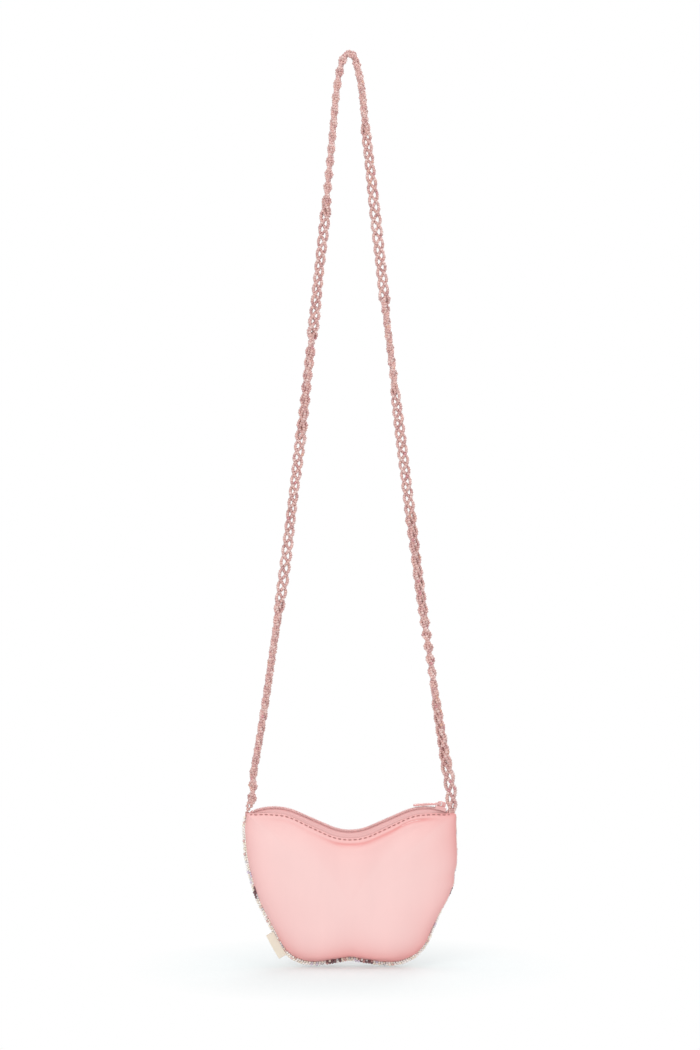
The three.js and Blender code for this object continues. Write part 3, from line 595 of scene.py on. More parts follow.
def grid(rows, columns, round_rows=False, round_columns=False, first=0):
    """Corners of the quads of a grid, with its last row or column joined to the first where asked."""
    r, c = np.meshgrid(
        np.arange(rows - (not round_rows)), np.arange(columns - (not round_columns)), indexing="ij"
    )
    r2, c2 = (r + 1) % rows, (c + 1) % columns
    corners = [r * columns + c, r * columns + c2, r2 * columns + c2, r2 * columns + c]
    return first + np.stack(corners, -1).reshape(-1, 4)


def tube(points):
    """Grid of points with the faces that close it round its columns, and a flat face at each end."""
    rows, columns = points.shape[:2]
    cap = np.arange(columns)
    return points, [grid(rows, columns, False, True), cap[None, ::-1], cap[None] + (rows - 1) * columns]


def outward(points, blocks):
    """Faces turned so that the volume in them, summed over triangles with the middle, is positive."""
    p = points - points.mean(0)
    volume = sum(
        np.einsum("ij,ij->", p[b[:, 0]], np.cross(p[b[:, k]], p[b[:, k + 1]]))
        for b in blocks
        for k in range(1, b.shape[1] - 1)
    )
    return blocks if volume > 0 else [b[:, ::-1] for b in blocks]


def piece(name, points, blocks, finish, body, slot, *nodes, tones=None, closed=True):
    """Mesh object from points and blocks of faces with as many corners each, riding on a body."""
    points = np.asarray(points, float).reshape(-1, 3)
    blocks = outward(points, blocks) if closed else blocks
    mesh = bpy.data.meshes.new(name)
    mesh.vertices.add(len(points))
    mesh.vertices.foreach_set("co", points.astype(np.float32).ravel())
    corners = np.concatenate([b.ravel() for b in blocks])
    sizes = np.concatenate([np.full(len(b), b.shape[1]) for b in blocks])
    mesh.loops.add(len(corners))
    mesh.loops.foreach_set("vertex_index", corners.astype(np.int32))
    mesh.polygons.add(len(sizes))
    mesh.polygons.foreach_set("loop_start", (np.cumsum(sizes) - sizes).astype(np.int32))
    mesh.update(calc_edges=True)
    mesh.shade_smooth()
    for key, values in (tones or {}).items():
        values = np.asarray(values, np.float32)
        if values.ndim == 1:
            mesh.attributes.new(key, "FLOAT", "POINT").data.foreach_set("value", values)
        else:
            rgba = np.concatenate([values, np.ones((len(values), 1), np.float32)], 1)
            mesh.attributes.new(key, "FLOAT_COLOR", "POINT").data.foreach_set("color", rgba.ravel())
    if mesh.validate():
        raise ValueError(name + " has faces that do not hold")
    mesh.materials.append(finish)
    made = bpy.data.objects.new(name, mesh)
    bpy.context.scene.collection.objects.link(made)
    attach(made, body)
    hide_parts(*nodes)
    return made


def joined(parts):
    """Several sets of points and faces as one set."""
    points, blocks, first = [], [], 0
    for part_points, part_blocks in parts:
        part_points = np.asarray(part_points).reshape(-1, 3)
        points.append(part_points)
        blocks += [b + first for b in outward(part_points, part_blocks)]
        first += len(part_points)
    return np.vstack(points), blocks


def unit(vectors):
    """Vectors of length 1."""
    return vectors / np.maximum(np.linalg.norm(vectors, axis=-1, keepdims=True), 1e-12)


def swept(path, section, lean_to=(0, 1, 0)):
    """Section carried along a path, closed at both ends.

    A point is path + u * side + v * up, with side = tangent x lean_to and up = side x tangent.
    The section is one list of (u, v), or one for each point of the path.
    """
    tangent = unit(np.gradient(path, axis=0))
    side = unit(np.cross(tangent, lean_to))
    up = np.cross(side, tangent)
    section = np.broadcast_to(section, (len(path), *np.shape(section)[-2:]))
    return tube(path[:, None] + section[..., :1] * side[:, None] + section[..., 1:] * up[:, None])


def circle(sides, radius=1.0):
    """Corners of a regular polygon."""
    turn = np.arange(sides) / sides * 2 * np.pi
    return np.stack([np.cos(turn), np.sin(turn)], -1) * np.asarray(radius)[..., None, None]


def rounded(sides, wide, high, power=4.0):
    """Superellipse |u / wide|^power + |v / high|^power = 1."""
    turn = (np.arange(sides) + 0.5) / sides * 2 * np.pi
    c, s = np.cos(turn), np.sin(turn)
    return np.stack(
        [wide * np.sign(c) * np.abs(c) ** (2 / power), high * np.sign(s) * np.abs(s) ** (2 / power)], -1
    )


# Height and radius of the rings of a bead
BARREL = np.array([(-0.5, 0.7), (-0.27, 0.99), (0.27, 0.99), (0.5, 0.7)])


def beads(centres, axes, long, radius, sides=8):
    """Barrel beads: at each centre rings of BARREL about the bead's axis, in flat-ended tubes."""
    axes = unit(axes)
    helper = np.where(np.abs(axes[:, 1:2]) > 0.9, (1.0, 0, 0), (0, 1.0, 0))
    side = unit(np.cross(axes, helper))
    up = np.cross(axes, side)
    rim = circle(sides)
    radius = np.broadcast_to(radius, len(centres))[:, None, None, None]
    long = np.broadcast_to(long, len(centres))[:, None, None, None]
    points = (
        centres[:, None, None]
        + axes[:, None, None] * BARREL[None, :, None, :1] * long
        + (side[:, None, None] * rim[None, None, :, :1] + up[:, None, None] * rim[None, None, :, 1:])
        * BARREL[None, :, None, 1:]
        * radius
    )
    rings = len(BARREL)
    first = np.arange(len(centres))[:, None, None] * rings * sides
    walls = (first + grid(rings, sides, False, True)[None]).reshape(-1, 4)
    cap = np.arange(sides)
    caps = np.concatenate([first[:, 0] + cap[::-1], first[:, 0] + cap + (rings - 1) * sides])
    return points.reshape(-1, 3), [walls, caps]


def per_bead(tints, sides=8):
    """Tint of each bead, given to all its points."""
    return np.repeat(tints, len(BARREL) * sides, axis=0)


def dealt(rng, count, colours, shares):
    """One colour for each bead, dealt by shares and shaded a little."""
    pick = rng.choice(len(colours), count, p=np.array(shares) / np.sum(shares))
    tints = np.array([tuple(c) for c in colours])[pick]
    return np.clip(tints * rng.uniform(0.94, 1.06, (count, 1)), 0, 1)


# Nodes of the finishes

def new_finish(name, **sockets):
    """Material whose Principled shader has these sockets set."""
    material = bpy.data.materials.new(name)
    material.use_nodes = True
    shader = material.node_tree.nodes["Principled BSDF"]
    for socket, value in sockets.items():
        shader.inputs[socket.replace("_", " ")].default_value = value
    return material


def give(material, socket, value):
    """Set a node's input to a value, or link another node's output into it."""
    if isinstance(value, bpy.types.NodeSocket):
        material.node_tree.links.new(value, socket)
    else:
        socket.default_value = value


def add(material, kind, inputs=None, **settings):
    """Node with settings and inputs."""
    made = material.node_tree.nodes.new("ShaderNode" + kind)
    for key, value in settings.items():
        setattr(made, key, value)
    for socket, value in (inputs or {}).items():
        give(material, made.inputs[socket], value)
    return made


def feed(material, socket, value):
    """Link a value into the material's Principled shader."""
    give(material, material.node_tree.nodes["Principled BSDF"].inputs[socket], value)


def object_place(material, stretch=(1, 1, 1)):
    """Object coordinates, stretched by a Mapping node."""
    place = add(material, "TexCoord").outputs["Object"]
    return add(material, "Mapping", {"Vector": place, "Scale": stretch}).outputs["Vector"]


def noise(material, scale, detail, stretch=(1, 1, 1), **inputs):
    """Noise on Object coordinates."""
    inputs = {"Vector": object_place(material, stretch), "Scale": scale, "Detail": detail, **inputs}
    return add(material, "TexNoise", inputs).outputs["Fac"]


def wave(material, scale, distortion, direction):
    """Waves in one direction on Object coordinates."""
    inputs = {"Vector": object_place(material), "Scale": scale, "Distortion": distortion}
    return add(material, "TexWave", inputs, bands_direction=direction).outputs["Fac"]


def attribute(material, name, output="Fac"):
    """Attribute that the mesh carries."""
    return add(material, "Attribute", attribute_name=name).outputs[output]


def maths(material, operation, *values):
    """Result of a Math node."""
    return add(material, "Math", dict(enumerate(values)), operation=operation).outputs[0]


def ranged(material, value, low, high, to_low, to_high):
    """Value carried from one range to another."""
    inputs = {"Value": value, "From Min": low, "From Max": high, "To Min": to_low, "To Max": to_high}
    return add(material, "MapRange", inputs).outputs["Result"]


def blended(material, factor, first, second, kind="MIX"):
    """Colour between two others, each a colour or an output."""
    made = add(material, "Mix", {0: factor}, data_type="RGBA", blend_type=kind)
    for index, value in ((6, first), (7, second)):
        value = value if isinstance(value, bpy.types.NodeSocket) else (*value, 1)
        give(material, made.inputs[index], value)
    return made.outputs[2]


def toned(material, value, span, first, second):
    """Two colours blended by a value, which a span of four numbers carries to the share of the second."""
    return blended(material, ranged(material, value, *span), first, second)


def bump(material, height, strength, distance):
    """Fine relief of the finish."""
    made = add(material, "Bump", {"Height": height, "Strength": strength, "Distance": distance})
    feed(material, "Normal", made.outputs["Normal"])


def shade_of(base, factor):
    """A colour made lighter or darker."""
    return tuple(min(1.0, part * factor) for part in base)


# Finishes

def satin_finish(colours):
    """Satin: painted shade where it rolls into the seam, faint upright bands of painted sheen, a fine weave
    of crossed waves.
    """
    sheen = {"Sheen_Weight": 0.18, "Sheen_Roughness": 0.4, "Specular_IOR_Level": 0.35}
    m = new_finish("satin_cloth", Roughness=0.42, **sheen)
    base = tuple(colours.satin)
    bands = noise(m, 1.0, 3.0, (55, 20, 9))
    # Faint upright bands of painted sheen: the colour is a little darker between them
    tone = toned(m, bands, (0.3, 0.7, 0, 1), shade_of(base, 0.965), base)
    tone = toned(m, noise(m, 38.0, 2.0), (0.35, 0.75, 0, 0.3), tone, shade_of(base, 0.95))
    # Painted shade: the rim attribute blends the satin's colour towards its shade colour
    feed(m, "Base Color", blended(m, attribute(m, "rim"), tone, tuple(colours.satin_painted_shade)))
    bump(m, maths(m, "ADD", wave(m, 900.0, 1.5, "X"), wave(m, 420.0, 2.0, "Z")), 0.12, 0.12 * MM)
    feed(m, "Roughness", ranged(m, bands, 0.3, 0.7, 0.38, 0.48))
    return m


def plain_weave(name, base, pitch):
    """Matt woven cloth: crossed threads of a pitch, and a soft mottle."""
    m = new_finish(name, Roughness=0.85, Sheen_Weight=0.15)
    count = WAVE_LENGTH / pitch
    weave = maths(m, "MULTIPLY", wave(m, count, 1.0, "X"), wave(m, count, 1.0, "Z"))
    tone = toned(m, weave, (0, 1, 0, 1), shade_of(base, 0.86), base)
    feed(m, "Base Color", toned(m, noise(m, 300.0, 4.0), (0.3, 0.8, 0, 0.35), tone, shade_of(base, 0.92)))
    bump(m, weave, 0.4, 0.2 * MM)
    return m


def wadding_finish(colours):
    """Wadding: soft fibres, a fine noise in tone and height."""
    m = new_finish("wadding_fleece", Roughness=0.95, Sheen_Weight=0.3)
    fibre = noise(m, 900.0, 6.0, Roughness=0.7)
    base = tuple(colours.wadding)
    feed(m, "Base Color", toned(m, fibre, (0.3, 0.7, 0, 1), shade_of(base, 0.88), base))
    bump(m, fibre, 0.6, 0.5 * MM)
    return m


def tape_finish(colours):
    """Zip tape: twill of slanted waves, with painted light and shade along it from an attribute of the tape:
    lighter on its ribs, darker beside the coil.
    """
    m = new_finish("zip_tape_twill", Roughness=0.75, Sheen_Weight=0.2)
    shade = tuple(colours.tape_shade)
    # Painted light and shade: the rib attribute blends between the tape's shade colour and its own colour
    tone = blended(m, attribute(m, "rib"), shade, tuple(colours.tape))
    weave = maths(m, "MULTIPLY", wave(m, 380.0, 1.2, "DIAGONAL"), noise(m, 700.0, 3.0))
    feed(m, "Base Color", toned(m, weave, (0, 0.6, 0.22, 0), tone, shade_of(shade, 0.8)))
    bump(m, weave, 0.45, 0.18 * MM)
    return m


def nylon_finish(colours):
    """Nylon: smooth, a little uneven in tone and gloss along the coil."""
    m = new_finish("coil_nylon", Roughness=0.34, Coat_Weight=0.15)
    tone = noise(m, 420.0, 2.0)
    base = tuple(colours.nylon)
    feed(m, "Base Color", toned(m, tone, (0.3, 0.7, 0, 1), shade_of(base, 0.84), shade_of(base, 1.05)))
    feed(m, "Roughness", ranged(m, tone, 0.3, 0.7, 0.28, 0.42))
    return m


def paint_finish(colours):
    """Painted metal: a painted highlight, lighter on its sharp edges, with fine orange peel in the coat."""
    m = new_finish("painted_metal", Roughness=0.28, Coat_Weight=0.35, Coat_Roughness=0.12)
    base = tuple(colours.metal)
    peel = noise(m, 2600.0, 2.0)
    tone = toned(m, peel, (0.35, 0.7, 0, 0.3), base, shade_of(base, 0.86))
    # Painted highlight: sharp edges, found by pointiness, turn to the lighter colour
    edge = add(m, "NewGeometry").outputs["Pointiness"]
    feed(m, "Base Color", toned(m, edge, (0.5, 0.62, 0, 0.75), tone, tuple(colours.metal_edge_highlight)))
    feed(m, "Roughness", ranged(m, peel, 0.3, 0.7, 0.24, 0.36))
    bump(m, peel, 0.08, 0.1 * MM)
    return m


def thread_finish(name, base):
    """Twisted thread: slanted waves in tone and height, close together."""
    m = new_finish(name, Roughness=0.6, Sheen_Weight=0.2)
    ply = wave(m, 560.0, 0.6, "DIAGONAL")
    feed(m, "Base Color", toned(m, ply, (0, 1, 0, 1), shade_of(base, 0.72), shade_of(base, 1.08)))
    bump(m, ply, 0.5, 0.1 * MM)
    return m


def ribbon_finish(colours):
    """Grosgrain ribbon: fine ribs across its own map, its far selvedge and its back a shade darker."""
    m = new_finish("ribbon_grosgrain", Roughness=0.7, Sheen_Weight=0.25)
    base = tuple(colours.ribbon)
    across = attribute(m, "across")
    ribs = maths(m, "SINE", maths(m, "MULTIPLY", across, 240.0))
    tone = toned(m, ribs, (-1, 1, 0.35, 0), base, shade_of(base, 0.84))
    tone = toned(m, noise(m, 900.0, 3.0), (0.35, 0.75, 0, 0.3), tone, shade_of(base, 0.9))
    tone = toned(m, across, (0.94, 1, 0, 0.5), tone, shade_of(base, 0.8))
    feed(m, "Base Color", toned(m, attribute(m, "down"), (0.42, 0.58, 0, 0.06), tone, shade_of(base, 0.85)))
    bump(m, ribs, 0.35, 0.08 * MM)
    return m


def bead_finish(name, gloss):
    """Glass seed bead: its own tint, a clear coat, and small differences in gloss from bead to bead."""
    m = new_finish(name, Roughness=gloss, Coat_Weight=0.5, Coat_Roughness=0.08)
    flaw = noise(m, 480.0, 2.0)
    clouded = ranged(m, flaw, 0.35, 0.75, 0, 0.25)
    feed(m, "Base Color", blended(m, clouded, attribute(m, "tint", "Color"), GLASS_FLAW, "MULTIPLY"))
    feed(m, "Roughness", ranged(m, flaw, 0.3, 0.7, gloss * 0.7, gloss * 1.4))
    return m


# Stage

def lamp(name, place, aim, size, power):
    """Square soft lamp at a place, turned to a point."""
    light = bpy.data.lights.new(name, "AREA")
    light.energy, light.size = power, size
    made = bpy.data.objects.new(name, light)
    made.location = place
    made.rotation_euler = (Vector(aim) - Vector(place)).to_track_quat("-Z", "Y").to_euler()
    bpy.context.scene.collection.objects.link(made)


def seen_ray(material):
    """1 for rays that show the background: camera, glossy and transmission rays."""
    path = add(material, "LightPath").outputs
    first = maths(material, "MAXIMUM", path["Is Camera Ray"], path["Is Glossy Ray"])
    return maths(material, "MAXIMUM", first, path["Is Transmission Ray"])


class BAG_OT_stage(bpy.types.Operator):
    """Camera, soft studio light, white surroundings and a pale floor"""

    bl_idname = "bag.stage"
    bl_label = "Stage"

    def execute(self, context):
        scene = context.scene
        scene.view_settings.view_transform = "Standard"
        camera = bpy.data.cameras.new("camera")
        camera.lens, camera.sensor_width, camera.sensor_fit = LENS, SENSOR, "AUTO"
        camera.clip_start, camera.clip_end = CLIP
        holder = bpy.data.objects.new("camera", camera)
        holder.location = CAMERA_AT
        holder.rotation_euler = (np.pi / 2, 0, 0)
        scene.collection.objects.link(holder)
        scene.camera = holder
        for each in LAMPS:
            lamp(*each)
        self.surroundings(scene)
        self.floor()
        return {"FINISHED"}

    def surroundings(self, scene):
        """Plain white for the rays that show it, and a dimmer white room that lights the bag."""
        world = bpy.data.worlds.new("studio")
        world.use_nodes = True
        scene.world = world
        nodes, white = world.node_tree.nodes, (1, 1, 1, 1)
        room = nodes["Background"]
        room.inputs["Color"].default_value = white
        room.inputs["Strength"].default_value = ROOM_LIGHT
        seen = add(world, "Background", {"Color": white, "Strength": 1})
        choice = add(world, "MixShader", {0: seen_ray(world), 1: room.outputs[0], 2: seen.outputs[0]})
        give(world, nodes["World Output"].inputs["Surface"], choice.outputs[0])

    def floor(self):
        """Plane under the lobes: matt near the bag, so that it takes the shadow, and white further off."""
        m = new_finish("pale_floor", Base_Color=FLOOR_COLOUR, Roughness=0.9, Specular_IOR_Level=0.1)
        nodes = m.node_tree.nodes
        apart = add(m, "VectorMath", {0: object_place(m, (1, 1, 0))}, operation="LENGTH").outputs["Value"]
        glow = add(m, "Emission", {"Color": (1, 1, 1, 1), "Strength": 1.0})
        share = maths(m, "MULTIPLY", ranged(m, apart, *FLOOR_FADE), seen_ray(m))
        choice = add(m, "MixShader", {0: share, 1: nodes["Principled BSDF"].outputs[0], 2: glow.outputs[0]})
        give(m, nodes["Material Output"].inputs["Surface"], choice.outputs[0])
        steps = np.linspace(-FLOOR_HALF, FLOOR_HALF, FLOOR_STEPS)
        x, y = np.meshgrid(steps, steps, indexing="ij")
        points = np.stack([x, y, np.full_like(x, FOOT_Z - FLOOR_DROP)], -1).reshape(-1, 3)
        mesh = bpy.data.meshes.new("floor")
        mesh.from_pydata(points.tolist(), [], grid(FLOOR_STEPS, FLOOR_STEPS)[:, ::-1].tolist())
        mesh.materials.append(m)
        made = bpy.data.objects.new("floor", mesh)
        bpy.context.scene.collection.objects.link(made)


# Strap and its corner tacks

def strap_line():
    """Close points on the strap's middle line with the length along it.

    Its ends stand in from the tacks by smooth steps, and its arch settles by a hump.
    """
    route = through(np.vstack([STRAP_ROUTE, STRAP_LOOP_END]), 60)
    line, run = spaced(route, 0.2 * MM)
    x, z = line.T
    from_arch = run - run[np.argmax(z)]
    for side, from_end, (stand, until) in zip((1, -1), (run, run[-1] - run), END_STANDS):
        x = x + side * stand * (1 - eased(from_end, STAND_START, until))
    return np.stack([x, np.zeros(len(x)), z - ARCH_SETTLE * hump(from_arch, 0, ARCH_SPREAD)], -1), run


def smoothed(values, count):
    """Running mean over a count of values, with the ends held."""
    padded = np.concatenate([np.full(count, values[0]), values, np.full(count, values[-1])])
    return np.convolve(padded, np.ones(count) / count, "same")[count:-count]


class BAG_OT_strap(bpy.types.Operator):
    """Strap of three strands of seed beads, two strings each, plaited flat and twisted about its own line"""

    bl_idname = "bag.strap"
    bl_label = "Bead strap"

    def execute(self, context):
        sizes, colours = context.scene.strap_sizes, context.scene.bag_colours
        line, run = strap_line()
        loops = [self.loop(side) for side in (-1, 1)]
        paths = self.plait(sizes, line, run)
        for loop in loops:
            clear = loop[:, 2] > TACK_Z + EYE_BARE
            half = len(loop) // 2
            paths += [loop[:half][clear[:half]], loop[half:][clear[half:]]]
        strap = self.strung(sizes, colours, paths)
        finish = thread_finish("eye_thread", tuple(colours.tack_thread))
        for name, loop in zip(("left", "right"), loops):
            ply = (EYE_PLY[0] + EYE_PLY[1] * np.sin(np.arange(len(loop)) * 1.9)) * MM
            wound = swept(loop, circle(8, ply), (1, 0, 0))
            piece(f"eye_thread_{name}", *wound, finish, "strap", "thread", f"strap_eye_{name}")
        return {"FINISHED"}

    def plait(self, sizes, line, run):
        """Lines of the plait's six strings, two side by side in each of three strands.

        With t the phase of a strand, it sways across the flat by sin(t) and rises by sin(2 t).
        The flat is turned about the strap's line, and knuckles 1 + a cos(3 t) thicken it where strands cross.
        """
        share, to_end = run / run[-1], run[-1] - run
        across = np.cross(unit(np.gradient(line, axis=0)), (0, 1, 0))
        turn = np.radians(smoothed(np.interp(share, *STRAP_TURNS.T), 45))
        cos, sin = np.cos(turn)[:, None], np.sin(turn)[:, None]
        wide, thick = cos * across + sin * (0, 1, 0), cos * (0, 1, 0) - sin * across
        on_edge, slanted = np.sin(turn) ** 2, np.sin(2 * turn) ** 2
        loose = eased(share, *LOOSE_SHARES)
        period = mix(mix(sizes.round, sizes.edge_round, on_edge), sizes.loose_round, loose)
        period = period * (1 + 0.1 * np.sin(run / (83 * MM)) * np.sin(run / (27 * MM) + 1))
        phase = 2 * np.pi * np.cumsum(np.gradient(run) / period)
        phase = phase - phase[-1] + STRAP_END_PHASE
        ends = np.minimum(eased(run, -4 * MM, 5 * MM), eased(to_end, -3 * MM, 7 * MM))
        uneven = 1 + 0.12 * np.sin(run / (19 * MM) + 2) * np.sin(run / (47 * MM))
        sway = sizes.sway * mix(mix(0.3, 0.4, loose), 1, ends) * uneven * mix(1, 0.98, loose)
        swing = mix(0.36, 0.16, np.maximum(slanted, loose)) + 0.16 * np.sin(run / (14.3 * MM))
        knuckle = 1 + swing * np.cos(3 * phase)
        lift = sizes.lift * mix(0.3, 1, ends) * mix(1, 0.5, slanted) * knuckle
        apart = sizes.pair * mix(0.5, 1, ends) * mix(1, 1.5, slanted) * knuckle
        tilt = 0.35 * loose
        pair = apart[:, None] * (np.cos(tilt)[:, None] * thick + np.sin(tilt)[:, None] * wide)
        paths = []
        for strand in range(3):
            turned = phase + strand * 2 * np.pi / 3
            middle = line + (sway * np.sin(turned))[:, None] * wide
            middle = middle + (lift * np.sin(2 * turned))[:, None] * thick
            paths += [middle - pair, middle + pair]
        return paths

    def strung(self, sizes, colours, paths):
        """Seed beads at equal steps along each line, with the string through them, as one piece."""
        rng = np.random.default_rng(SEED)
        deck = (
            colours.rose, colours.salmon, colours.blush, colours.mauve, colours.hot_pink, colours.apricot,
        )
        weights = (42, 26, 18, 12, 1, 1)
        parts, tints = [], []
        for path in paths:
            centres, _ = spaced(path, sizes.bead_pitch)
            axes = np.gradient(centres, axis=0)
            radius = sizes.bead / 2 * rng.uniform(0.9, 1.08, len(centres))
            parts.append(beads(centres, axes, sizes.bead_pitch * 0.98, radius, 6))
            tints.append(per_bead(dealt(rng, len(centres), deck, weights), 6))
            inner, _ = spaced(path, 4 * MM)
            parts.append(swept(inner, circle(3, STRING_RADIUS), (0.3, 0.5, 0.8)))
            tints.append(np.tile(shade_of(tuple(colours.mauve), 0.8), (len(inner) * 3, 1)))
        return piece(
            "strap_plait", *joined(parts), bead_finish("strap_glass", 0.26), "strap", "strap_beads",
            "bead_strap", tones={"tint": np.concatenate(tints)},
        )

    def loop(self, side):
        """Line of a thread eye: a loop round the tack's bar whose two legs run apart up into the plait.

        The loop is a circle about the bar, opened at the top, where its legs close in by a smooth step.
        """
        turn = np.radians(np.linspace(62, -242, 61))
        y, z = EYE_RING * np.cos(turn), EYE_RING * np.sin(turn)
        climb = np.linspace(0, 1, 22)[1:]
        leg_z = mix(z[0], EYE_STEM + 1.2 * MM, climb)
        leg_y = mix(y[0], 0.5 * MM, eased(climb, 0, 0.8))
        y = np.concatenate([leg_y[::-1], y, -leg_y])
        z = np.concatenate([leg_z[::-1], z, leg_z])
        lean = side * np.maximum(z, 0) * EYE_LEANS[side]
        part = np.sign(y) * EYE_SPREAD * eased(z, 0.8 * MM, EYE_STEM)
        return np.stack([side * TACK_X + lean + part, y, TACK_Z + z], -1)


class BAG_OT_tacks(bpy.types.Operator):
    """Thread tacks in the two top corners, wound round, which the strap's eyes hang on"""

    bl_idname = "bag.tacks"
    bl_label = "Corner tacks"

    def execute(self, context):
        finish = thread_finish("tack_thread", tuple(context.scene.bag_colours.tack_thread))
        bow = np.linspace(-1, 1, 121)
        for name, side in (("left", -1), ("right", 1)):
            low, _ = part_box(f"strap_tack_{name}")
            # A bar with rounded shoulders: x follows a power of the way along it, and a smooth step takes
            # its legs down to the cloth.
            x = (TACK_HALF - TACK_THREAD) * np.sign(bow) * np.minimum(1, np.abs(bow) * 2.1) ** 0.8
            z = mix(0, low.z - TACK_Z, eased(np.abs(bow), 0.42, 1.0))
            path, run = spaced(np.stack([side * TACK_X + x, np.zeros_like(x), TACK_Z + z], -1), 0.09 * MM)
            wound = (TACK_PLY[0] + TACK_PLY[1] * np.sin(run / TACK_WIND * 2 * np.pi)) * MM
            thread = swept(path, circle(12, wound))
            piece(f"tack_thread_{name}", *thread, finish, "bag", "thread", f"strap_tack_{name}")
        return {"FINISHED"}


# Cloth

def cloth_columns(top_count, side_count):
    """Angles of the pouch's edge points, close together along the zip."""
    top = np.interp(np.linspace(-RIDGE_HALF, RIDGE_HALF, top_count), TOP_ALONG, np.arange(len(TOP_ALONG)))
    top = TOP_EDGE[np.round(top).astype(int)]
    bottom, _ = spaced(BOTTOM_EDGE, 1 * MM)
    bottom = bottom[np.round(np.linspace(0, len(bottom) - 1, side_count + 2)).astype(int)[1:-1]]
    edge = np.vstack([top, bottom]) - (0, MIDDLE_Z)
    return np.sort(np.arctan2(edge[:, 1], edge[:, 0]))


RIM_SHARES = np.concatenate([1 - 0.13 * np.linspace(0, 1, 36) ** 2, np.linspace(0.87, 0.03, 24)[1:]])
PLAIN_SHARES = np.concatenate([1 - 0.13 * np.linspace(0, 1, 9) ** 2, np.linspace(0.87, 0.05, 9)[1:]])


def ripple(sizes, angle, share):
    """Relief of the sewn cloth in depth, and the distance from its edge, at angles and shares.

    Along the zip: a rolled edge, a groove of stitches that dips at each stitch, a soft crease below it and
    a swell below that. Along the seam: puckers sin(arc) that die off as exp(-d).
    Everywhere: a few long waves.
    """
    distance, _ = cloth(angle, share, BACK)
    edge, _ = cloth(angle, np.ones_like(share), BACK)
    top, lean, far = at_angle(TOP, angle), at_angle(LEAN, angle), at_angle(FAR, angle)
    inset = (edge - distance) * lean
    x, z = distance * np.cos(angle), distance * np.sin(angle)
    beat = np.cos(2 * np.pi * far / sizes.stitch_pitch)
    groove = -GROOVE_DEPTH * hump(inset, sizes.stitch_inset, GROOVE_WIDTH) * mix(0.65, 1, 0.5 + 0.5 * beat)
    rolled = -EDGE_ROLL * np.clip(1 - inset / EDGE_ROLL_WIDTH, 0, 1) ** 2
    right = mix(LEFT_CREASE, 1, eased(x, -38 * MM, -12 * MM)) * eased(RIDGE_HALF - far, *CREASE_RUN)
    crease = -sizes.crease * hump(inset, *CREASE_PLACE) * right
    swell = 0.75 * sizes.crease * hump(inset, *SWELL_PLACE) * right
    tug = STITCH_TUG * beat * np.exp(-inset / STITCH_TUG_FADE)
    zip_side = top * (groove + rolled + crease + swell + tug)
    arc = angle * SEAM_RADIUS * MM
    gather = np.sin(arc / PUCKER_WAVE + 1.8 * np.sin(arc / PUCKER_BEAT)) * np.exp(-inset / PUCKER_FADE)
    low = mix(0.45, 1, eased(-z, 0, 40 * MM))
    pucker = (1 - top) * sizes.pucker * gather * low * eased(inset, 0, 1.2 * MM)
    waves = (
        np.sin(x / (12.5 * MM) + z / (31 * MM) + 0.7)
        + 0.8 * np.sin(x / (7.1 * MM) - z / (24 * MM) + 2.1)
        + 0.7 * np.sin(z / (10.5 * MM) + x / (50 * MM) + 4)
    ) / 2.5
    calm = eased(inset, 4 * MM, 18 * MM)
    return zip_side + pucker + sizes.puff * waves * calm, inset


def shell(outer, inner):
    """Closed cloth between an outer and an inner face, each a grid of points from the rim to the middle.

    The two rims are joined by a strip, and each face ends in one point in the middle.
    """
    columns = outer.shape[1]
    parts, blocks, first = [], [], 0
    for layer, turn in ((outer, 1), (inner, -1)):
        rows = len(layer)
        parts += [layer.reshape(-1, 3), layer[-1].mean(0, keepdims=True)]
        ring = first + (rows - 1) * columns + np.arange(columns)
        fan = np.stack([ring, np.roll(ring, -1), np.full(columns, first + rows * columns)], -1)
        blocks += [grid(rows, columns, False, True, first)[:, ::turn], fan[:, ::turn]]
        first += rows * columns + 1
    near = np.arange(columns)
    far = len(outer) * columns + 1 + near
    strip = np.stack([near, far, np.roll(far, -1), np.roll(near, -1)], -1)
    return np.vstack(parts), blocks + [strip]


def face(angles, shares, side, sign, under=0.0, top_inset=0.0):
    """Grid of points of one plain face of a cloth layer."""
    angle, share = np.meshgrid(angles, shares)
    distance, deep = cloth(angle, share, side, under, top_inset)
    return from_middle(angle, distance, sign * deep)


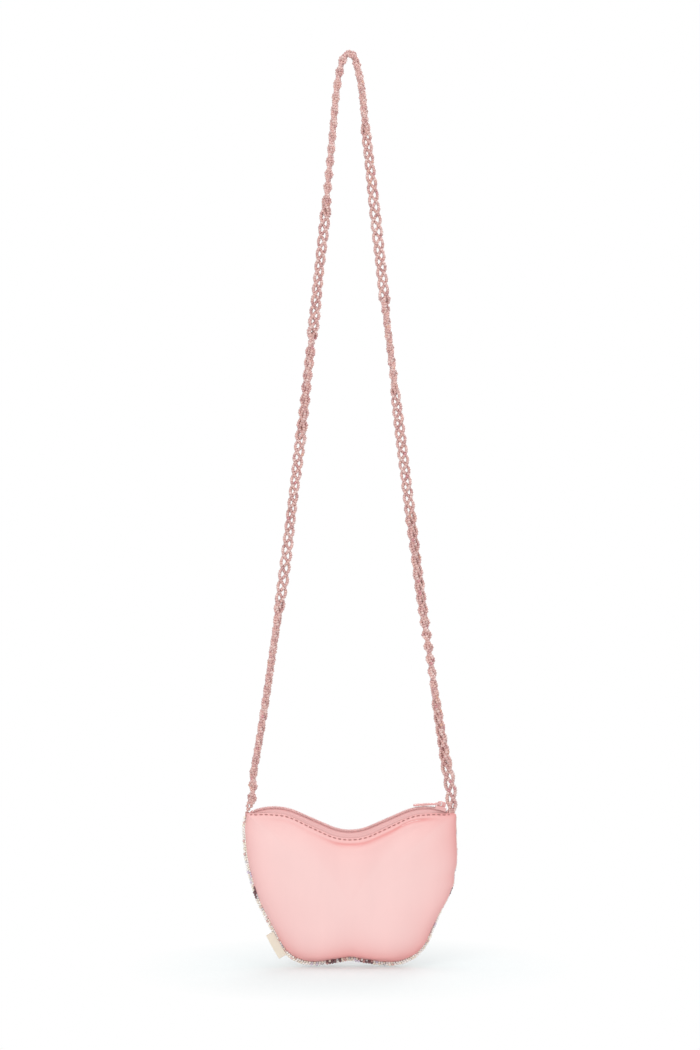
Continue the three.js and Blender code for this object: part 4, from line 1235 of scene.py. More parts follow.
class BAG_OT_back(bpy.types.Operator):
    """Satin back with its wadding and its half of the inner pocket"""

    bl_idname = "bag.back"
    bl_label = "Satin back"

    def execute(self, context):
        sizes, colours = context.scene.bag_sizes, context.scene.bag_colours
        angles = cloth_columns(420, 320)
        angle, share = np.meshgrid(angles, RIM_SHARES)
        distance, deep = cloth(angle, share, BACK)
        relief, inset = ripple(sizes, angle, share)
        outer = from_middle(angle, distance, -np.maximum(deep + relief, SEAM_DEPTH * 0.5))
        inner = face(angles, PLAIN_SHARES, BACK, -1, *INNER_FACE)
        inner[..., 1] = np.minimum(inner[..., 1], -SEAM_DEPTH * 0.4)
        points, blocks = shell(outer, inner)
        rim = np.zeros(len(points))
        # The rim attribute carries the share of painted shade
        rim[: angle.size] = self.shade(angle, inset).ravel()
        finish = satin_finish(colours)
        satin = piece("satin_back", points, blocks, finish, "bag", "satin", "back_panel", tones={"rim": rim})
        inside_layers(context, "back", BACK, -1)
        return {"FINISHED"}

    def shade(self, angle, inset):
        """Share of painted shade, carried by the rim attribute.

        It falls as exp(-d) from the seam, strongest along the bottom and at the upper right, and humps as
        painted shadow in the stitches' groove and in the zip's crease. It is lessened just under the zip's
        edge, a painted lighter strip.
        """
        top = at_angle(TOP, angle)
        down = eased(-np.sin(angle), 0.1, 0.75)
        right = eased(np.cos(angle), 0.3, 0.9) * (1 - down)
        weight = mix(0.2, 0.8, down) + 0.1 * right + 0.2 * eased(-np.sin(angle), 0.9, 1)
        reach = mix(3, 6, down) * MM
        # Painted shade falling from the seam, and a broad painted shade over the edges
        broad = 0.36 + 0.16 * eased(np.cos(angle), 0, 0.8) + 0.11 * top - 0.14 * down
        seam = (1 - top) * weight * np.exp(-inset / reach) + broad * np.exp(-inset / (13 * MM))
        # A painted shadow patch at the upper right, by the crest
        seam += 0.16 * window(angle, 20, 34, 41, 52) * np.exp(-inset / (24 * MM))
        from_corner = eased(RIDGE_HALF - at_angle(FAR, angle), *CREASE_RUN)
        creased = mix(LEFT_CREASE, 1, eased(np.cos(angle), -0.5, -0.15)) * from_corner
        # Painted shadow in the stitches' groove and in the zip's crease
        hem = 0.25 * hump(inset, 1.1 * MM, 0.7 * MM) + 0.62 * creased * hump(inset, 4.4 * MM, 1.2 * MM)
        # Painted light: a lighter strip just under the zip's edge
        hem -= 0.25 * np.exp(-inset / (2.5 * MM))
        return np.clip(seam + top * hem, 0, 1)


def inside_layers(context, name, side, sign):
    """Wadding and pocket lining of one side, each a closed shell drawn in from the cloth above it."""
    colours = context.scene.bag_colours
    angles = cloth_columns(120, 120)
    hem = TAPE_TUCK + TUCK_GAP
    under = CLOTH_THICKNESS + CLEARANCE
    layers = []
    for thick in (PADDING_THICKNESS, LINING_THICKNESS):
        outer = face(angles, PLAIN_SHARES, side, sign, under, hem)
        inner = face(angles, PLAIN_SHARES, side, sign, under + thick, hem)
        inner[..., 1] = np.where(np.abs(inner[..., 1]) <= SEAM_DEPTH, sign * SEAM_DEPTH * 0.8, inner[..., 1])
        layers.append(shell(outer, inner))
        under += thick + CLEARANCE
    fleece = wadding_finish(colours)
    wadding = piece(f"{name}_wadding", *layers[0], fleece, "bag", "wadding", f"{name}_padding")
    weave = plain_weave(f"{name}_lining_cloth", tuple(colours.lining), 0.35 * MM)
    pocket = piece(f"{name}_pocket", *layers[1], weave, "bag", "lining", f"{name}_lining")


class BAG_OT_front(bpy.types.Operator):
    """Base cloth of the beaded front with its wadding and its half of the inner pocket"""

    bl_idname = "bag.front"
    bl_label = "Front cloth"

    def execute(self, context):
        sizes, colours = context.scene.bag_sizes, context.scene.bag_colours
        angles = cloth_columns(420, 200)
        angle, share = np.meshgrid(angles, RIM_SHARES)
        distance, deep = cloth(angle, share, FRONT)
        relief, inset = ripple(sizes, angle, share)
        near_zip = at_angle(TOP, angle) * eased(4 * MM - inset, 0, 2 * MM)
        outer = from_middle(angle, distance, deep + relief * near_zip)
        inner = face(angles, PLAIN_SHARES, FRONT, 1, *INNER_FACE)
        inner[..., 1] = np.maximum(inner[..., 1], SEAM_DEPTH * 0.4)
        weave = plain_weave("front_base_cloth", tuple(colours.front_cloth), 0.45 * MM)
        base = piece("front_base", *shell(outer, inner), weave, "bag", "front_cloth", "front_panel")
        inside_layers(context, "front", FRONT, 1)
        return {"FINISHED"}


# Stitching

class BAG_OT_stitching(bpy.types.Operator):
    """Two rows of stitches beside the zip, one dash of thread after another"""

    bl_idname = "bag.stitching"
    bl_label = "Stitching"

    def execute(self, context):
        sizes = context.scene.bag_sizes
        finish = thread_finish("stitch_thread", tuple(context.scene.bag_colours.thread))
        dash = np.linspace(-0.5, 0.5, 13)
        # Each dash is a bow: it dips into the cloth at both ends by the fourth power of its length.
        bow = (STITCH_BOW[0] - STITCH_BOW[1] * (2 * np.abs(dash)) ** 4) * MM
        taper = sizes.thread_radius * (1 - 0.35 * (2 * np.abs(dash)) ** 6)
        along = np.linspace(4 * MM - RIDGE_HALF, RIDGE_HALF - 4 * MM, 1201)
        edge = on_ridge(along, 0, -band(along)) - (0, 0, MIDDLE_Z)
        line = np.arctan2(edge[:, 2], edge[:, 0])
        for name, sign, side in (("back", -1, BACK), ("front", 1, FRONT)):
            rim, _ = cloth(line, np.ones_like(line), side)
            inside = rim - sizes.stitch_inset / at_angle(LEAN, line)
            run = lengths(from_middle(line, inside, 0))
            count = int(run[-1] / 2 / sizes.stitch_pitch)
            middles = run[-1] / 2 + np.arange(-count, count + 1) * sizes.stitch_pitch
            angle = np.interp(middles[:, None] + dash[None] * sizes.stitch_length, run, line)
            share, _ = share_at(angle, np.interp(angle, line[::-1], inside[::-1]), side)
            distance, deep = cloth(angle, share, side)
            relief, _ = ripple(sizes, angle, share)
            paths = from_middle(angle, distance, sign * (deep + relief + bow[None]))
            dashes = joined([swept(path, circle(8, taper)) for path in paths])
            piece(f"{name}_stitches", *dashes, finish, "bag", "thread", f"{name}_topstitch")
        return {"FINISHED"}


# Beads of the front

def front_rows():
    """Surface of the front over angle and share: points, normals, and length on it from the rim."""
    angles = np.linspace(-np.pi, np.pi, 1440, endpoint=False)
    shares = np.concatenate([1 - 0.3 * np.linspace(0, 1, 160) ** 2, np.linspace(0.7, 0.02, 120)[1:]])
    angle, share = np.meshgrid(angles, shares, indexing="ij")
    distance, deep = cloth(angle, share, FRONT)
    points = from_middle(angle, distance, deep)
    down = np.gradient(points, axis=1)
    round_way = np.roll(points, -1, 0) - np.roll(points, 1, 0)
    normals = unit(np.cross(round_way, down))
    normals *= np.where((normals[..., 1:2] < 0), -1, 1)
    steps = np.linalg.norm(np.diff(points, axis=1), axis=2)
    run = np.concatenate([np.zeros((len(angles), 1)), np.cumsum(steps, 1)], 1)
    return angles, shares, points, normals, run


class BAG_OT_beads(bpy.types.Operator):
    """Beads of the front: a border in rows along the edge, two wings in arcs, and the body between them"""

    bl_idname = "bag.beads"
    bl_label = "Front beads"

    def execute(self, context):
        sizes, colours = context.scene.bag_sizes, context.scene.bag_colours
        rng = np.random.default_rng(SEED + 1)
        self.rows = front_rows()
        self.border(sizes, colours, rng)
        for name, side in (("left", -1), ("right", 1)):
            self.wing(sizes, colours, rng, name, side)
        self.body(sizes, colours, rng)
        return {"FINISHED"}

    def on_front(self, x, z):
        """Point, normal and length from the rim at a place of the front, from the nearest ray and share."""
        angles, shares, _, normals, run = self.rows
        angle = np.arctan2(z - MIDDLE_Z, x)
        far = np.hypot(x, z - MIDDLE_Z)
        share, edge = share_at(angle, far, FRONT)
        _, deep = cloth(angle, share, FRONT)
        ray = np.round((angle + np.pi) / (2 * np.pi) * len(angles)).astype(int) % len(angles)
        ring = np.clip(np.searchsorted(-shares, -share), 0, len(shares) - 1)
        return np.stack([x, deep, z], -1), normals[ray, ring], np.where(far < edge, run[ray, ring], -1)

    def border(self, sizes, colours, rng):
        """Rows at equal lengths over the surface from the rim, below the zip's hem, and one row in the seam.

        Every other row is of large beads. No bead is near a tack.
        """
        angles, shares, points, normals, run = self.rows
        top = at_angle(TOP, angles)
        step = (sizes.rim_bead + sizes.row_bead) / 2
        pick = np.arange(len(angles))
        rows = []
        for row, bead in enumerate((sizes.rim_bead, sizes.row_bead) * 2):
            target = BORDER_START + row * step + top * BORDER_TOP_INSET
            ring = np.clip((run < target[:, None]).sum(1), 0, len(shares) - 1)
            outwards = normals[pick, ring]
            lifted = points[pick, ring] + outwards * (CLEARANCE + bead * BEAD_SEAT)
            if row == 0:
                lifted[:, 1] -= FIRST_ROW_DROP * (1 - top)
            placed, _ = spaced(np.concatenate([lifted, outwards], 1), bead * 0.99, closed=True)
            centres, outwards = placed[:, :3], unit(placed[:, 3:])
            along = np.roll(centres, -1, 0) - np.roll(centres, 1, 0)
            rows.append(np.column_stack([centres, along, outwards, np.full(len(placed), bead)]))
        low = (angles < SEAM_ROW_ENDS[0]) | (angles > SEAM_ROW_ENDS[1])
        distance = at_angle(REACH, angles) - SEAM_ROW_INSET / at_angle(LEAN, angles)
        order = np.argsort(np.mod(angles[low] - np.pi / 2, 2 * np.pi))
        seam, _ = spaced(from_middle(angles, distance, -SEAM_ROW_DEPTH)[low][order], sizes.rim_bead * 0.93)
        behind = np.tile((0, -1.0, 0), (len(seam), 1))
        small = np.full(len(seam), sizes.rim_bead * 0.94)
        rows.append(np.column_stack([seam, np.gradient(seam, axis=0), behind, small]))
        rows = np.vstack(rows)
        from_tack = np.abs(rows[:, :3]) - np.abs((TACK_X, 0, TACK_Z))
        rows = rows[np.linalg.norm(from_tack, axis=1) > TACK_CLEAR]
        count, bead = len(rows), rows[:, 9]
        centres = rows[:, :3] + rows[:, 6:9] * rng.normal(0, 0.12 * MM, (count, 1))
        axes = unit(rows[:, 3:6]) + rng.normal(0, 0.22, (count, 3))
        deck = (colours.pearl, colours.cream, colours.silver, colours.lilac, colours.blush)
        tints = dealt(rng, count, deck, (48, 26, 8, 5, 13))
        dark = dealt(rng, count, (colours.brown, colours.mauve, colours.silver), (60, 28, 12))
        x, z = np.abs(centres[:, 0]), centres[:, 2] + CREST_DROP
        at_side = (np.abs(z - SIDE_PATCH[1]) < SIDE_PATCH[2]) & (x > SIDE_PATCH[0])
        at_foot = (np.abs(x - FOOT_PATCH[0]) < FOOT_PATCH[2]) & (z < FOOT_PATCH[1])
        at_vein = (at_side | at_foot) & (rng.random(count) < 0.8)
        tints = np.where(at_vein[:, None], dark, tints)
        radius = bead / 2 * rng.uniform(0.9, 1.08, count)
        piece(
            "rim_beads", *beads(centres, axes, bead * 0.86, radius), bead_finish("rim_glass", 0.22), "bag",
            "pearl_beads", "bead_border", tones={"tint": per_bead(tints)},
        )

    def wing(self, sizes, colours, rng, name, side):
        """Arcs about the wing's root, between the border and the body: four rows, then a raised one."""
        next_to = (sizes.row_bead + sizes.wing_bead) / 2
        steps = np.append(np.linspace(next_to, ROW_PITCH - next_to, SMALL_ROWS), ROW_PITCH)
        spots = []
        for row in range(WING_ROWS):
            group, rank = divmod(row, SMALL_ROWS + 1)
            bead = sizes.row_bead if rank == SMALL_ROWS else sizes.wing_bead
            reach = group * ROW_PITCH + steps[rank]
            count = int(2 * np.pi * reach / (bead * 1.08))
            turn = (np.arange(count) + 0.5 * (row % 2)) / count * 2 * np.pi
            x, z = WING_ROOT + reach * np.cos(turn), reach * np.sin(turn)
            spots.append(np.stack([x, z, turn, np.full(count, bead)], -1))
        spots = np.vstack(spots)
        off_body = np.hypot(*(spots[:, :2] / BODY_ROOM).T) > 1
        x, z, turn, bead = spots[(spots[:, 0] > WING_GAP) & off_body].T
        place, normal, from_rim = self.on_front(side * x, z + MIDDLE_Z)
        from_rim = from_rim - at_angle(TOP, np.arctan2(z, side * x)) * BEAD_TOP_INSET
        border = BORDER_START + 1.5 * (sizes.rim_bead + sizes.row_bead) + (sizes.row_bead + bead) / 2
        kept = from_rim > border
        x, z, turn, bead, from_rim = (column[kept] for column in (x, z, turn, bead, from_rim))
        place, normal = place[kept], normal[kept]
        centres = place + normal * (CLEARANCE + bead * BEAD_SEAT)[:, None]
        axes = np.stack([-side * np.sin(turn), np.zeros_like(turn), np.cos(turn)], -1)
        axes = axes - normal * np.einsum("ij,ij->i", axes, normal)[:, None]
        axes = unit(axes) + rng.normal(0, 0.1, axes.shape)
        tints = self.wing_tints(colours, rng, x, z, from_rim)
        radius = bead / 2 * rng.uniform(0.93, 1.06, len(centres))
        piece(
            f"wing_beads_{name}", *beads(centres, axes, bead * 0.9, radius),
            bead_finish(f"wing_glass_{name}", 0.24), "bag", "wing_beads", f"bead_wing_{name}",
            tones={"tint": per_bead(tints)},
        )

    def wing_tints(self, colours, rng, x, z, from_rim):
        """Tint from the root's rose to the tip's blush, with spots, dark veins along rays and a lace edge.

        Each wing half has one oval spot with a light middle.
        """
        count = len(x)
        reach = np.hypot(x, z)
        out = np.clip(reach / WING_LENGTH + rng.normal(0, 0.07, count), 0, 1)[:, None]
        tints = mix(np.array(colours.wing_root), np.array(colours.wing_tip), out**0.8)
        tints = tints * rng.uniform(0.9, 1.08, (count, 1))
        upper = z > 0.09 * x
        rings = ((1, (colours.lilac, colours.silver)), (0.55, (colours.pearl, colours.cream)))
        for high, middle, half in WING_SPOTS:
            oval = np.hypot((x / MM - middle[0]) / half[0], (z / MM - middle[1]) / half[1])
            for size, deck in rings:
                inside = (upper == high) & (oval < size)
                tints = np.where(inside[:, None], dealt(rng, count, deck, (3, 1)), tints)
        dark = dealt(rng, count, (colours.brown, colours.mauve), (4, 1))
        for slant, wide in WING_VEINS:
            turn = np.radians(slant)
            off = np.abs(z * np.cos(turn) - x * np.sin(turn))
            vein = (off < wide * MM) & (x * np.cos(turn) + z * np.sin(turn) > 0)
            if wide < FINE_VEIN:
                vein &= reach < FINE_VEIN_LENGTH
            tints = np.where(vein[:, None], dark, tints)
        lace = dealt(rng, count, (colours.silver, colours.lilac), (2, 1))
        return np.where((from_rim < LACE_WIDTH)[:, None], lace, np.clip(tints, 0, 1))

    def body(self, sizes, colours, rng):
        """Rows across a spindle (x / a)^2 + (z / b)^2 < 1, domed by 1 - (x / a)^2."""
        half_wide, half_long = BODY_HALF
        across = np.arange(-2, 3) * sizes.body_bead * 0.98
        down = np.arange(-12, 13) * sizes.body_bead * 0.94
        x, z = (v.ravel() for v in np.meshgrid(across, down, indexing="ij"))
        width = half_wide * np.sqrt(np.clip(1 - (z / half_long) ** 2, 0, 1))
        x = x / half_wide * np.maximum(width, 1.2 * MM)
        kept = (np.abs(z) < half_long - 1.0 * MM) & ((np.abs(x) < 0.2 * MM) | (width > 2.6 * MM))
        x, z = x[kept], z[kept]
        place, _, _ = self.on_front(x, z + MIDDLE_Z)
        dome = BODY_DOME * (1 - (x / half_wide) ** 2)
        centres = place + np.array((0, 1.0, 0)) * (CLEARANCE + sizes.body_bead * BEAD_SEAT + dome)[:, None]
        axes = np.tile((1.0, 0, 0), (len(x), 1)) + rng.normal(0, 0.08, (len(x), 3))
        tints = dealt(rng, len(x), (colours.brown, colours.mauve, colours.silver), (70, 24, 6))
        piece(
            "spindle_beads", *beads(centres, axes, sizes.body_bead * 0.92, sizes.body_bead / 2, 10),
            bead_finish("spindle_glass", 0.18), "bag", "body_beads", "bead_body",
            tones={"tint": per_bead(tints, 10)},
        )


# Zip

class BAG_OT_zip(bpy.types.Operator):
    """Two woven tapes, two nylon coils and the zip's end stops"""

    bl_idname = "bag.zip"
    bl_label = "Zip"

    def execute(self, context):
        sizes, colours = context.scene.bag_sizes, context.scene.bag_colours
        weave, nylon, paint = tape_finish(colours), nylon_finish(colours), paint_finish(colours)
        coil_end, half = RIDGE_HALF - COIL_SETBACK + CLEARANCE, STOP_WIDTH / 2
        for name, sign in (("back", -1), ("front", 1)):
            self.tape(name, sign, weave)
            self.coil(name, sign, nylon, sizes.coil_pitch)
            self.stop(f"top_stop_{name}", coil_end, sign * COIL_SPREAD, half, paint)
        self.stop("bottom_stop", -coil_end - STOP_LENGTH, 0, COIL_SPREAD + half, paint)
        return {"FINISHED"}

    def tape(self, name, sign, weave):
        """Strip that slants from under the coil to the cloth's edge, then hangs straight behind the cloth.

        Past the coil's ends it stands up beside the stops by a smooth step, and slopes down to the corners.
        Its outer face carries two ribs, each a hump, and both faces are a thickness apart.
        """
        along = np.linspace(RIDGE_HALF - TAPE_SETBACK, -RIDGE_HALF + TAPE_SETBACK, 421)
        edge = -band(along)[:, None]
        to_end = RIDGE_HALF - np.abs(along)
        stand = TAPE_RISE * (1 - eased(to_end, COIL_SETBACK - 1.2 * MM, COIL_SETBACK))
        stand = stand - TAPE_END_DROP * (1 - eased(to_end, TAPE_SETBACK, TAPE_SETBACK + 2 * MM))
        slanted = mix((TAPE_ROOT + TAPE_HEAD + stand)[:, None], edge, np.linspace(0, 1, 25)[None])
        hung = edge - TAPE_TUCK * np.linspace(0, 1, 8)[None, 1:]
        above = np.concatenate([slanted, hung], 1)
        middle = tape_middle(np.maximum(above, edge))
        drop = TAPE_ROOT - above
        rib = sum(share * hump(drop, *place) for share, place in TAPE_RIBS)
        # Painted light and shade for the tape's colour: darker beside and under the coil, lighter on the two
        # ribs
        light = mix(0.5, 1, eased(drop, -0.3 * MM, 0.6 * MM)) * mix(0.55, 1, np.clip(rib, 0, 1))
        outer, inner = middle + TAPE_HALF + RIB_RISE * rib, middle - TAPE_HALF
        across = np.concatenate([outer, inner[:, ::-1]], 1)
        above, light = (np.concatenate([half, half[:, ::-1]], 1) for half in (above, light))
        strip = piece(
            f"tape_{name}", *tube(on_ridge(along[:, None], sign * across, above)), weave, "bag", "zip_cloth",
            f"zip_tape_{name}", tones={"rib": light.ravel()},
        )

    def coil(self, name, sign, nylon, pitch):
        """Helix about a filler cord: across = spread + r cos(turn), above = r sin(turn) - radius."""
        end = RIDGE_HALF - COIL_SETBACK - 0.3 * MM
        turns = 2 * end / pitch
        share = np.linspace(0, 1, int(turns * 14))
        along, turn = mix(-end, end, share), share * turns * 2 * np.pi
        ring = COIL_RADIUS - COIL_WIRE
        path = on_ridge(along, sign * (COIL_SPREAD + ring * np.cos(turn)), ring * np.sin(turn) - COIL_RADIUS)
        _, _, slope = ridge(along)
        forward = np.stack([np.cos(slope), np.zeros_like(slope), np.sin(slope)], -1)
        middle = on_ridge(np.linspace(-end, end, 241), sign * COIL_SPREAD, -COIL_RADIUS)
        wound = joined([swept(path, circle(6, COIL_WIRE), forward), swept(middle, circle(8, ring * 0.8))])
        piece(f"coil_{name}", *wound, nylon, "bag", "zip_nylon", f"zip_coil_{name}")

    def stop(self, name, start, across, half, paint):
        """Crimped clip: a superellipse section along the coil, drawn in at both ends by a smooth bow."""
        share = np.linspace(0, 1, 9)
        along = start + STOP_LENGTH * share
        bow = np.sqrt(np.clip(1 - (2 * share - 1) ** 6, 0.3, 1))
        section = rounded(20, half, COIL_RADIUS) * bow[:, None, None]
        clip = tube(on_ridge(along[:, None], across + section[..., 0], section[..., 1] - COIL_RADIUS))
        piece(name, *clip, paint, "bag", "zip_metal", f"zip_{name}")


class BAG_OT_slider(bpy.types.Operator):
    """Zip slider, the bail on it and the pull that hangs in the bail"""

    bl_idname = "bag.slider"
    bl_label = "Slider and pull"

    def execute(self, context):
        paint = paint_finish(context.scene.bag_colours)
        self.at = np.array(RIDGE_HALF - COIL_SETBACK - SLIDER_GAP - SLIDER_LENGTH / 2)
        self.shell(paint)
        self.bail(paint)
        self.pull(paint)
        return {"FINISHED"}

    def shell(self, paint):
        """Section of top plate, side flanges, web between the coils and keel, widened along the zip."""
        share = np.linspace(0, 1, 13)
        along = self.at + (share - 0.5) * SLIDER_LENGTH
        half = (SLIDER_NARROW + SLIDER_FLARE * share) * (1 - 0.1 * np.abs(2 * share - 1) ** 5)
        crown = PLATE_TOP - 0.25 * MM * np.abs(2 * share - 1) ** 4
        right = [
            (KEEL_HALF, KEEL_TOP - KEEL_THICKNESS),
            (KEEL_HALF, KEEL_TOP),
            (WEB_HALF, KEEL_TOP),
            (WEB_HALF, PLATE_BOTTOM),
            (half - FLANGE_THICKNESS, PLATE_BOTTOM),
            (half - FLANGE_THICKNESS, PLATE_BOTTOM - FLANGE_DEPTH),
            (half, PLATE_BOTTOM - FLANGE_DEPTH),
            (half, crown - 0.35 * MM),
            (half - 0.4 * MM, crown),
        ]
        v, w = (np.stack([np.broadcast_to(corner[k], len(share)) for corner in right], 1) for k in (0, 1))
        v, w = np.concatenate([v, -v[:, ::-1]], 1), np.concatenate([w, w[:, ::-1]], 1)
        body = tube(on_ridge(along[:, None], v, w))
        made = piece("slider_shell", *body, paint, "slider", "zip_metal", "zip_slider")
        soften(made, 0.14 * MM)

    def placed(self, along, across, up, pivot=(0, 0), lean=0.0):
        """Points of the bail's frame, square on the slider, turned by lean about a pivot in it."""
        c, s = np.cos(lean), np.sin(lean)
        a, u = pivot[0] + along * c - up * s, pivot[1] + along * s + up * c
        _, _, slope = ridge(self.at)
        base = on_ridge(self.at, 0, PLATE_TOP + CLEARANCE)
        x = base[0] + a * np.cos(slope) - u * np.sin(slope)
        z = base[2] + a * np.sin(slope) + u * np.cos(slope)
        x, y, z = np.broadcast_arrays(x, across, z)
        return np.stack([x, y, z], -1)

    def bail(self, paint):
        """Bar on a superellipse arch from post to post, a solid crown behind the slot, and a sill."""
        reach, rise = BAIL_HALF_LENGTH - BAIL_WALL / 2, BAIL_HEIGHT - BAIL_WALL / 2
        turn = np.linspace(np.pi, 0, 41)
        arch_a = reach * np.sign(np.cos(turn)) * np.abs(np.cos(turn)) ** 0.36
        arch_u = rise * np.abs(np.sin(turn)) ** 0.36
        line, _ = spaced(np.stack([arch_a, arch_u - CLEARANCE * 0.8], -1), 0.22 * MM)
        arch = swept(self.placed(line[:, 0], 0, line[:, 1]), rounded(16, BAIL_WALL / 2, BAIL_WIDTH / 2, 3.2))
        # The crown: rounded sections from the slot's end to the far post, drawn in at both ends.
        slot_end = 2 * (BAR_REACH + CLEARANCE) - (BAIL_HALF_LENGTH - BAIL_WALL)
        share = np.linspace(0, 1, 9)
        along = mix(slot_end, BAIL_HALF_LENGTH - 0.3 * MM, share)
        bow = np.sqrt(1 - 0.3 * (2 * share - 1) ** 8)
        section = rounded(16, BAIL_WIDTH / 2 * 0.96, rise / 2 + 0.1 * MM, 4) * bow[:, None, None]
        crown = tube(self.placed(along[:, None], section[..., 0], rise / 2 - 0.1 * MM + section[..., 1]))
        floor = self.placed(np.linspace(-BAIL_HALF_LENGTH + 0.4 * MM, slot_end + 0.6 * MM, 5), 0, 0)
        sill = swept(floor, rounded(12, 0.36 * MM, BAIL_WIDTH / 2 * 0.96, 4))
        piece("bail_arch", *joined([arch, crown, sill]), paint, "slider", "zip_metal", "slider_bail")

    def pull(self, paint):
        """Tongue with an eye: a closed grid over the turn about the eye and the way out from the eye.

        The rim stands above a shallow recess, and both edges are rounded.
        """
        eye_end = PULL_BAR + PULL_EYE_LENGTH
        eye_half = BAIL_WIDTH / 2 + CLEARANCE
        outer = self.tongue(eye_end)
        middle = np.array((-(PULL_BAR + eye_end) / 2, 0))
        turn = np.unwrap(np.arctan2(outer[:, 1] - middle[1], outer[:, 0] - middle[0]))
        ray = np.stack([np.cos(turn), np.sin(turn)], -1)
        hole_long = (eye_end - PULL_BAR) / 2
        power = 6.0
        hole = np.abs(ray[:, 0] / hole_long) ** power + np.abs(ray[:, 1] / eye_half) ** power
        inner = middle + ray * hole[:, None] ** (-1 / power)
        wide = np.linalg.norm(outer - inner, axis=1)[:, None]
        rim = np.minimum(PULL_RIM, wide * 0.33)
        edge = np.minimum(PULL_ROUND, wide * 0.2)
        foot = wide - rim * 1.25
        recess = 1 - 0.24 * np.clip((wide - 3 * MM) / (2 * MM), 0, 1)
        profile = (
            (0 * wide, 0.35), (edge * 0.35, 0.75), (edge, 1), (rim, 1), ((rim + foot) / 2, recess),
            (foot, recess), (wide - rim, 1), (wide - edge, 1), (wide - edge * 0.3, 0.75), (wide, 0.3),
        )  # way from the eye, and height
        way = np.concatenate([at for at, _ in profile], 1) / wide
        high = np.concatenate([np.broadcast_to(up, wide.shape) for _, up in profile], 1) * PULL_THICKNESS / 2
        way, high = np.concatenate([way, way[:, ::-1]], 1), np.concatenate([high, -high[:, ::-1]], 1)
        flat = inner[:, None] + (outer - inner)[:, None] * way[..., None]
        pivot, lean = self.hang()
        tongue = self.placed(flat[..., 0], flat[..., 1], high, pivot, lean)
        across = np.linspace(-eye_half - 0.3 * MM, eye_half + 0.3 * MM, 5)
        bar = swept(self.placed(0 * across, across, 0, pivot), circle(16, PULL_BAR_RADIUS), (0, 0, 1))
        tab = joined([(tongue, [grid(*high.shape, True, True)]), bar])
        piece("pull_tab", *tab, paint, "pull", "zip_metal", "zip_pull")

    def tongue(self, eye_end):
        """Outer edge of the pull: square round the eye, waisted behind it, widening to a round tip."""
        tip = PULL_LENGTH - PULL_HALF
        neck = eye_end + PULL_NECK_LENGTH
        square = np.array([(PULL_BAR, 0), (PULL_BAR, PULL_HALF - 0.5 * MM), (PULL_BAR - 0.5 * MM, PULL_HALF)])
        t = np.linspace(0, 1, 9)[:, None]
        bend = np.array((-eye_end - PULL_NECK_LENGTH / 2, PULL_NECK_HALF))
        waist = (1 - t) ** 2 * (-eye_end, PULL_HALF) + 2 * t * (1 - t) * bend + t**2 * (-neck, PULL_NECK_HALF)
        turn = np.linspace(np.pi / 2, np.pi, 13)
        cap = np.stack([PULL_HALF * np.cos(turn) - tip, PULL_HALF * np.sin(turn)], -1)
        upper, _ = spaced(np.vstack([square, waist, cap]), 0.25 * MM)
        return np.vstack([upper, upper[-2:0:-1] * (1, -1)])

    def hang(self):
        """Pivot of the pull's bar in the bail's upper corner, and the lean that lays it on the crest."""
        along = BAR_REACH + CLEARANCE - (BAIL_HALF_LENGTH - BAIL_WALL)
        up = BAIL_HEIGHT - BAIL_WALL - BAR_REACH - CLEARANCE
        height = CREST_RADIUS + PLATE_TOP + CLEARANCE + up
        rest = CREST_RADIUS + CLEARANCE + PULL_THICKNESS / 2
        lean = np.arccos(rest / np.hypot(height, along)) + np.arctan2(-along, height)
        return (along, up), lean


def soften(made, width):
    """Rounded edges from a Bevel modifier."""
    bevel = made.modifiers.new("soft_edges", "BEVEL")
    bevel.width, bevel.segments = width, 2
    bevel.limit_method, bevel.angle_limit = "ANGLE", np.radians(35)
    bevel.use_clamp_overlap = True


# Label

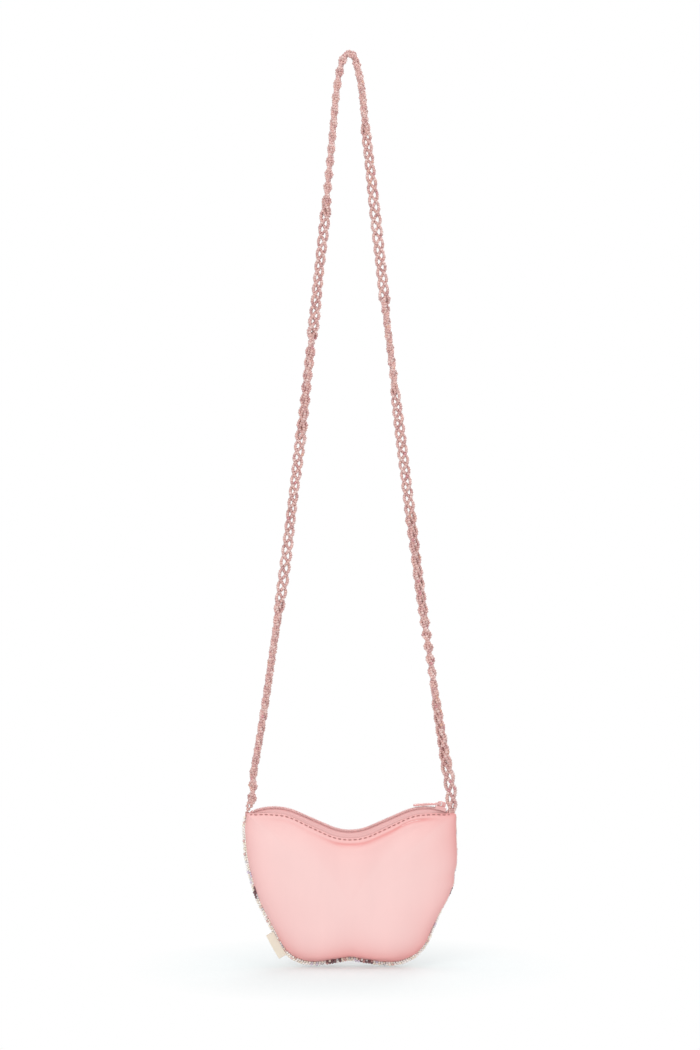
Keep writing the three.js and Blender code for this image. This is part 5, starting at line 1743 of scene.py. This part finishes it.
class BAG_OT_label(bpy.types.Operator):
    """Folded ribbon label in the lower left seam, left blank"""

    bl_idname = "bag.label"
    bl_label = "Ribbon label"

    def execute(self, context):
        line, _ = spaced(BOTTOM_EDGE, 0.2 * MM)
        seat = np.flatnonzero((line[:, 0] < -LOBE_X) & (line[:, 1] > FOOT_Z + LABEL_RISE))[0]
        flow = unit(line[seat] - line[seat - 1])
        outwards = np.array((-flow[1], flow[0]))
        inside, reach = CLEARANCE - CLOTH_EDGE, LABEL_REACH - CLOTH_EDGE - LABEL_FOLD
        turn = np.linspace(-np.pi / 2, np.pi / 2, 13)[1:-1]
        leg = np.linspace(inside, reach, 22)
        out = np.concatenate([leg, reach + LABEL_FOLD * np.cos(turn), leg[::-1]])
        ply = np.ones_like(leg)
        side = LABEL_FOLD * np.concatenate([-ply, np.sin(turn), ply])
        # The fold waves by a slow sine across the ribbon, more the further it stands out of the seam.
        across = np.linspace(0, 1, 41)
        grown = np.clip((out - inside) / (reach - inside), 0, 1)[:, None] ** 1.5
        lift = out[:, None] + LABEL_WAVES[0] * np.sin(across * 3.1 + 0.2) * grown
        y = LABEL_DEPTH + side[:, None] + LABEL_WAVES[1] * np.sin(across * 4.2 + 0.6) * grown
        run = (across - 0.5)[None] * LABEL_WIDTH
        flat = line[seat] + lift[..., None] * outwards + run[..., None] * flow
        points = np.stack([flat[..., 0], np.minimum(y, LABEL_FRONT), flat[..., 1]], -1)
        down = np.broadcast_to(np.linspace(0, 1, len(out))[:, None], y.shape)
        tones = {"across": np.broadcast_to(across, y.shape).ravel(), "down": down.ravel()}
        finish = ribbon_finish(context.scene.bag_colours)
        made = piece(
            "ribbon_label", points, [grid(*y.shape)], finish, "bag", "ribbon", "side_label",
            tones=tones, closed=False,
        )
        wall = made.modifiers.new("ribbon_thickness", "SOLIDIFY")
        wall.thickness, wall.offset = LABEL_PLY, 0
        return {"FINISHED"}


# Panel, registration and build order

class BAG_PT_panel(bpy.types.Panel):
    """Sizes, colours and building steps of the bag"""

    bl_idname = "BAG_PT_panel"
    bl_label = "Beaded crossbody bag"
    bl_space_type = "VIEW_3D"
    bl_region_type = "UI"
    bl_category = "Bag"

    def draw(self, context):
        for operator in OPERATORS:
            self.layout.operator(operator.bl_idname)
        for group in (context.scene.bag_sizes, context.scene.strap_sizes, context.scene.bag_colours):
            box = self.layout.box()
            for key in group.__annotations__:
                box.prop(group, key)


OPERATORS = (
    BAG_OT_stage,
    BAG_OT_strap,
    BAG_OT_tacks,
    BAG_OT_back,
    BAG_OT_front,
    BAG_OT_beads,
    BAG_OT_zip,
    BAG_OT_slider,
    BAG_OT_stitching,
    BAG_OT_label,
)
CLASSES = (BagSizes, StrapSizes, BagColours, *OPERATORS, BAG_PT_panel)


def register():
    for made in CLASSES:
        bpy.utils.register_class(made)
    bpy.types.Scene.bag_sizes = PointerProperty(type=BagSizes)
    bpy.types.Scene.strap_sizes = PointerProperty(type=StrapSizes)
    bpy.types.Scene.bag_colours = PointerProperty(type=BagColours)


def unregister():
    del bpy.types.Scene.bag_colours
    del bpy.types.Scene.strap_sizes
    del bpy.types.Scene.bag_sizes
    for made in reversed(CLASSES):
        bpy.utils.unregister_class(made)


def main():
    register()
    bpy.ops.bag.stage()
    bpy.ops.bag.strap()
    bpy.ops.bag.tacks()
    bpy.ops.bag.back()
    bpy.ops.bag.front()
    bpy.ops.bag.beads()
    bpy.ops.bag.zip()
    bpy.ops.bag.slider()
    bpy.ops.bag.stitching()
    bpy.ops.bag.label()
    bpy.context.view_layer.update()


if __name__ == "__main__":
    main()
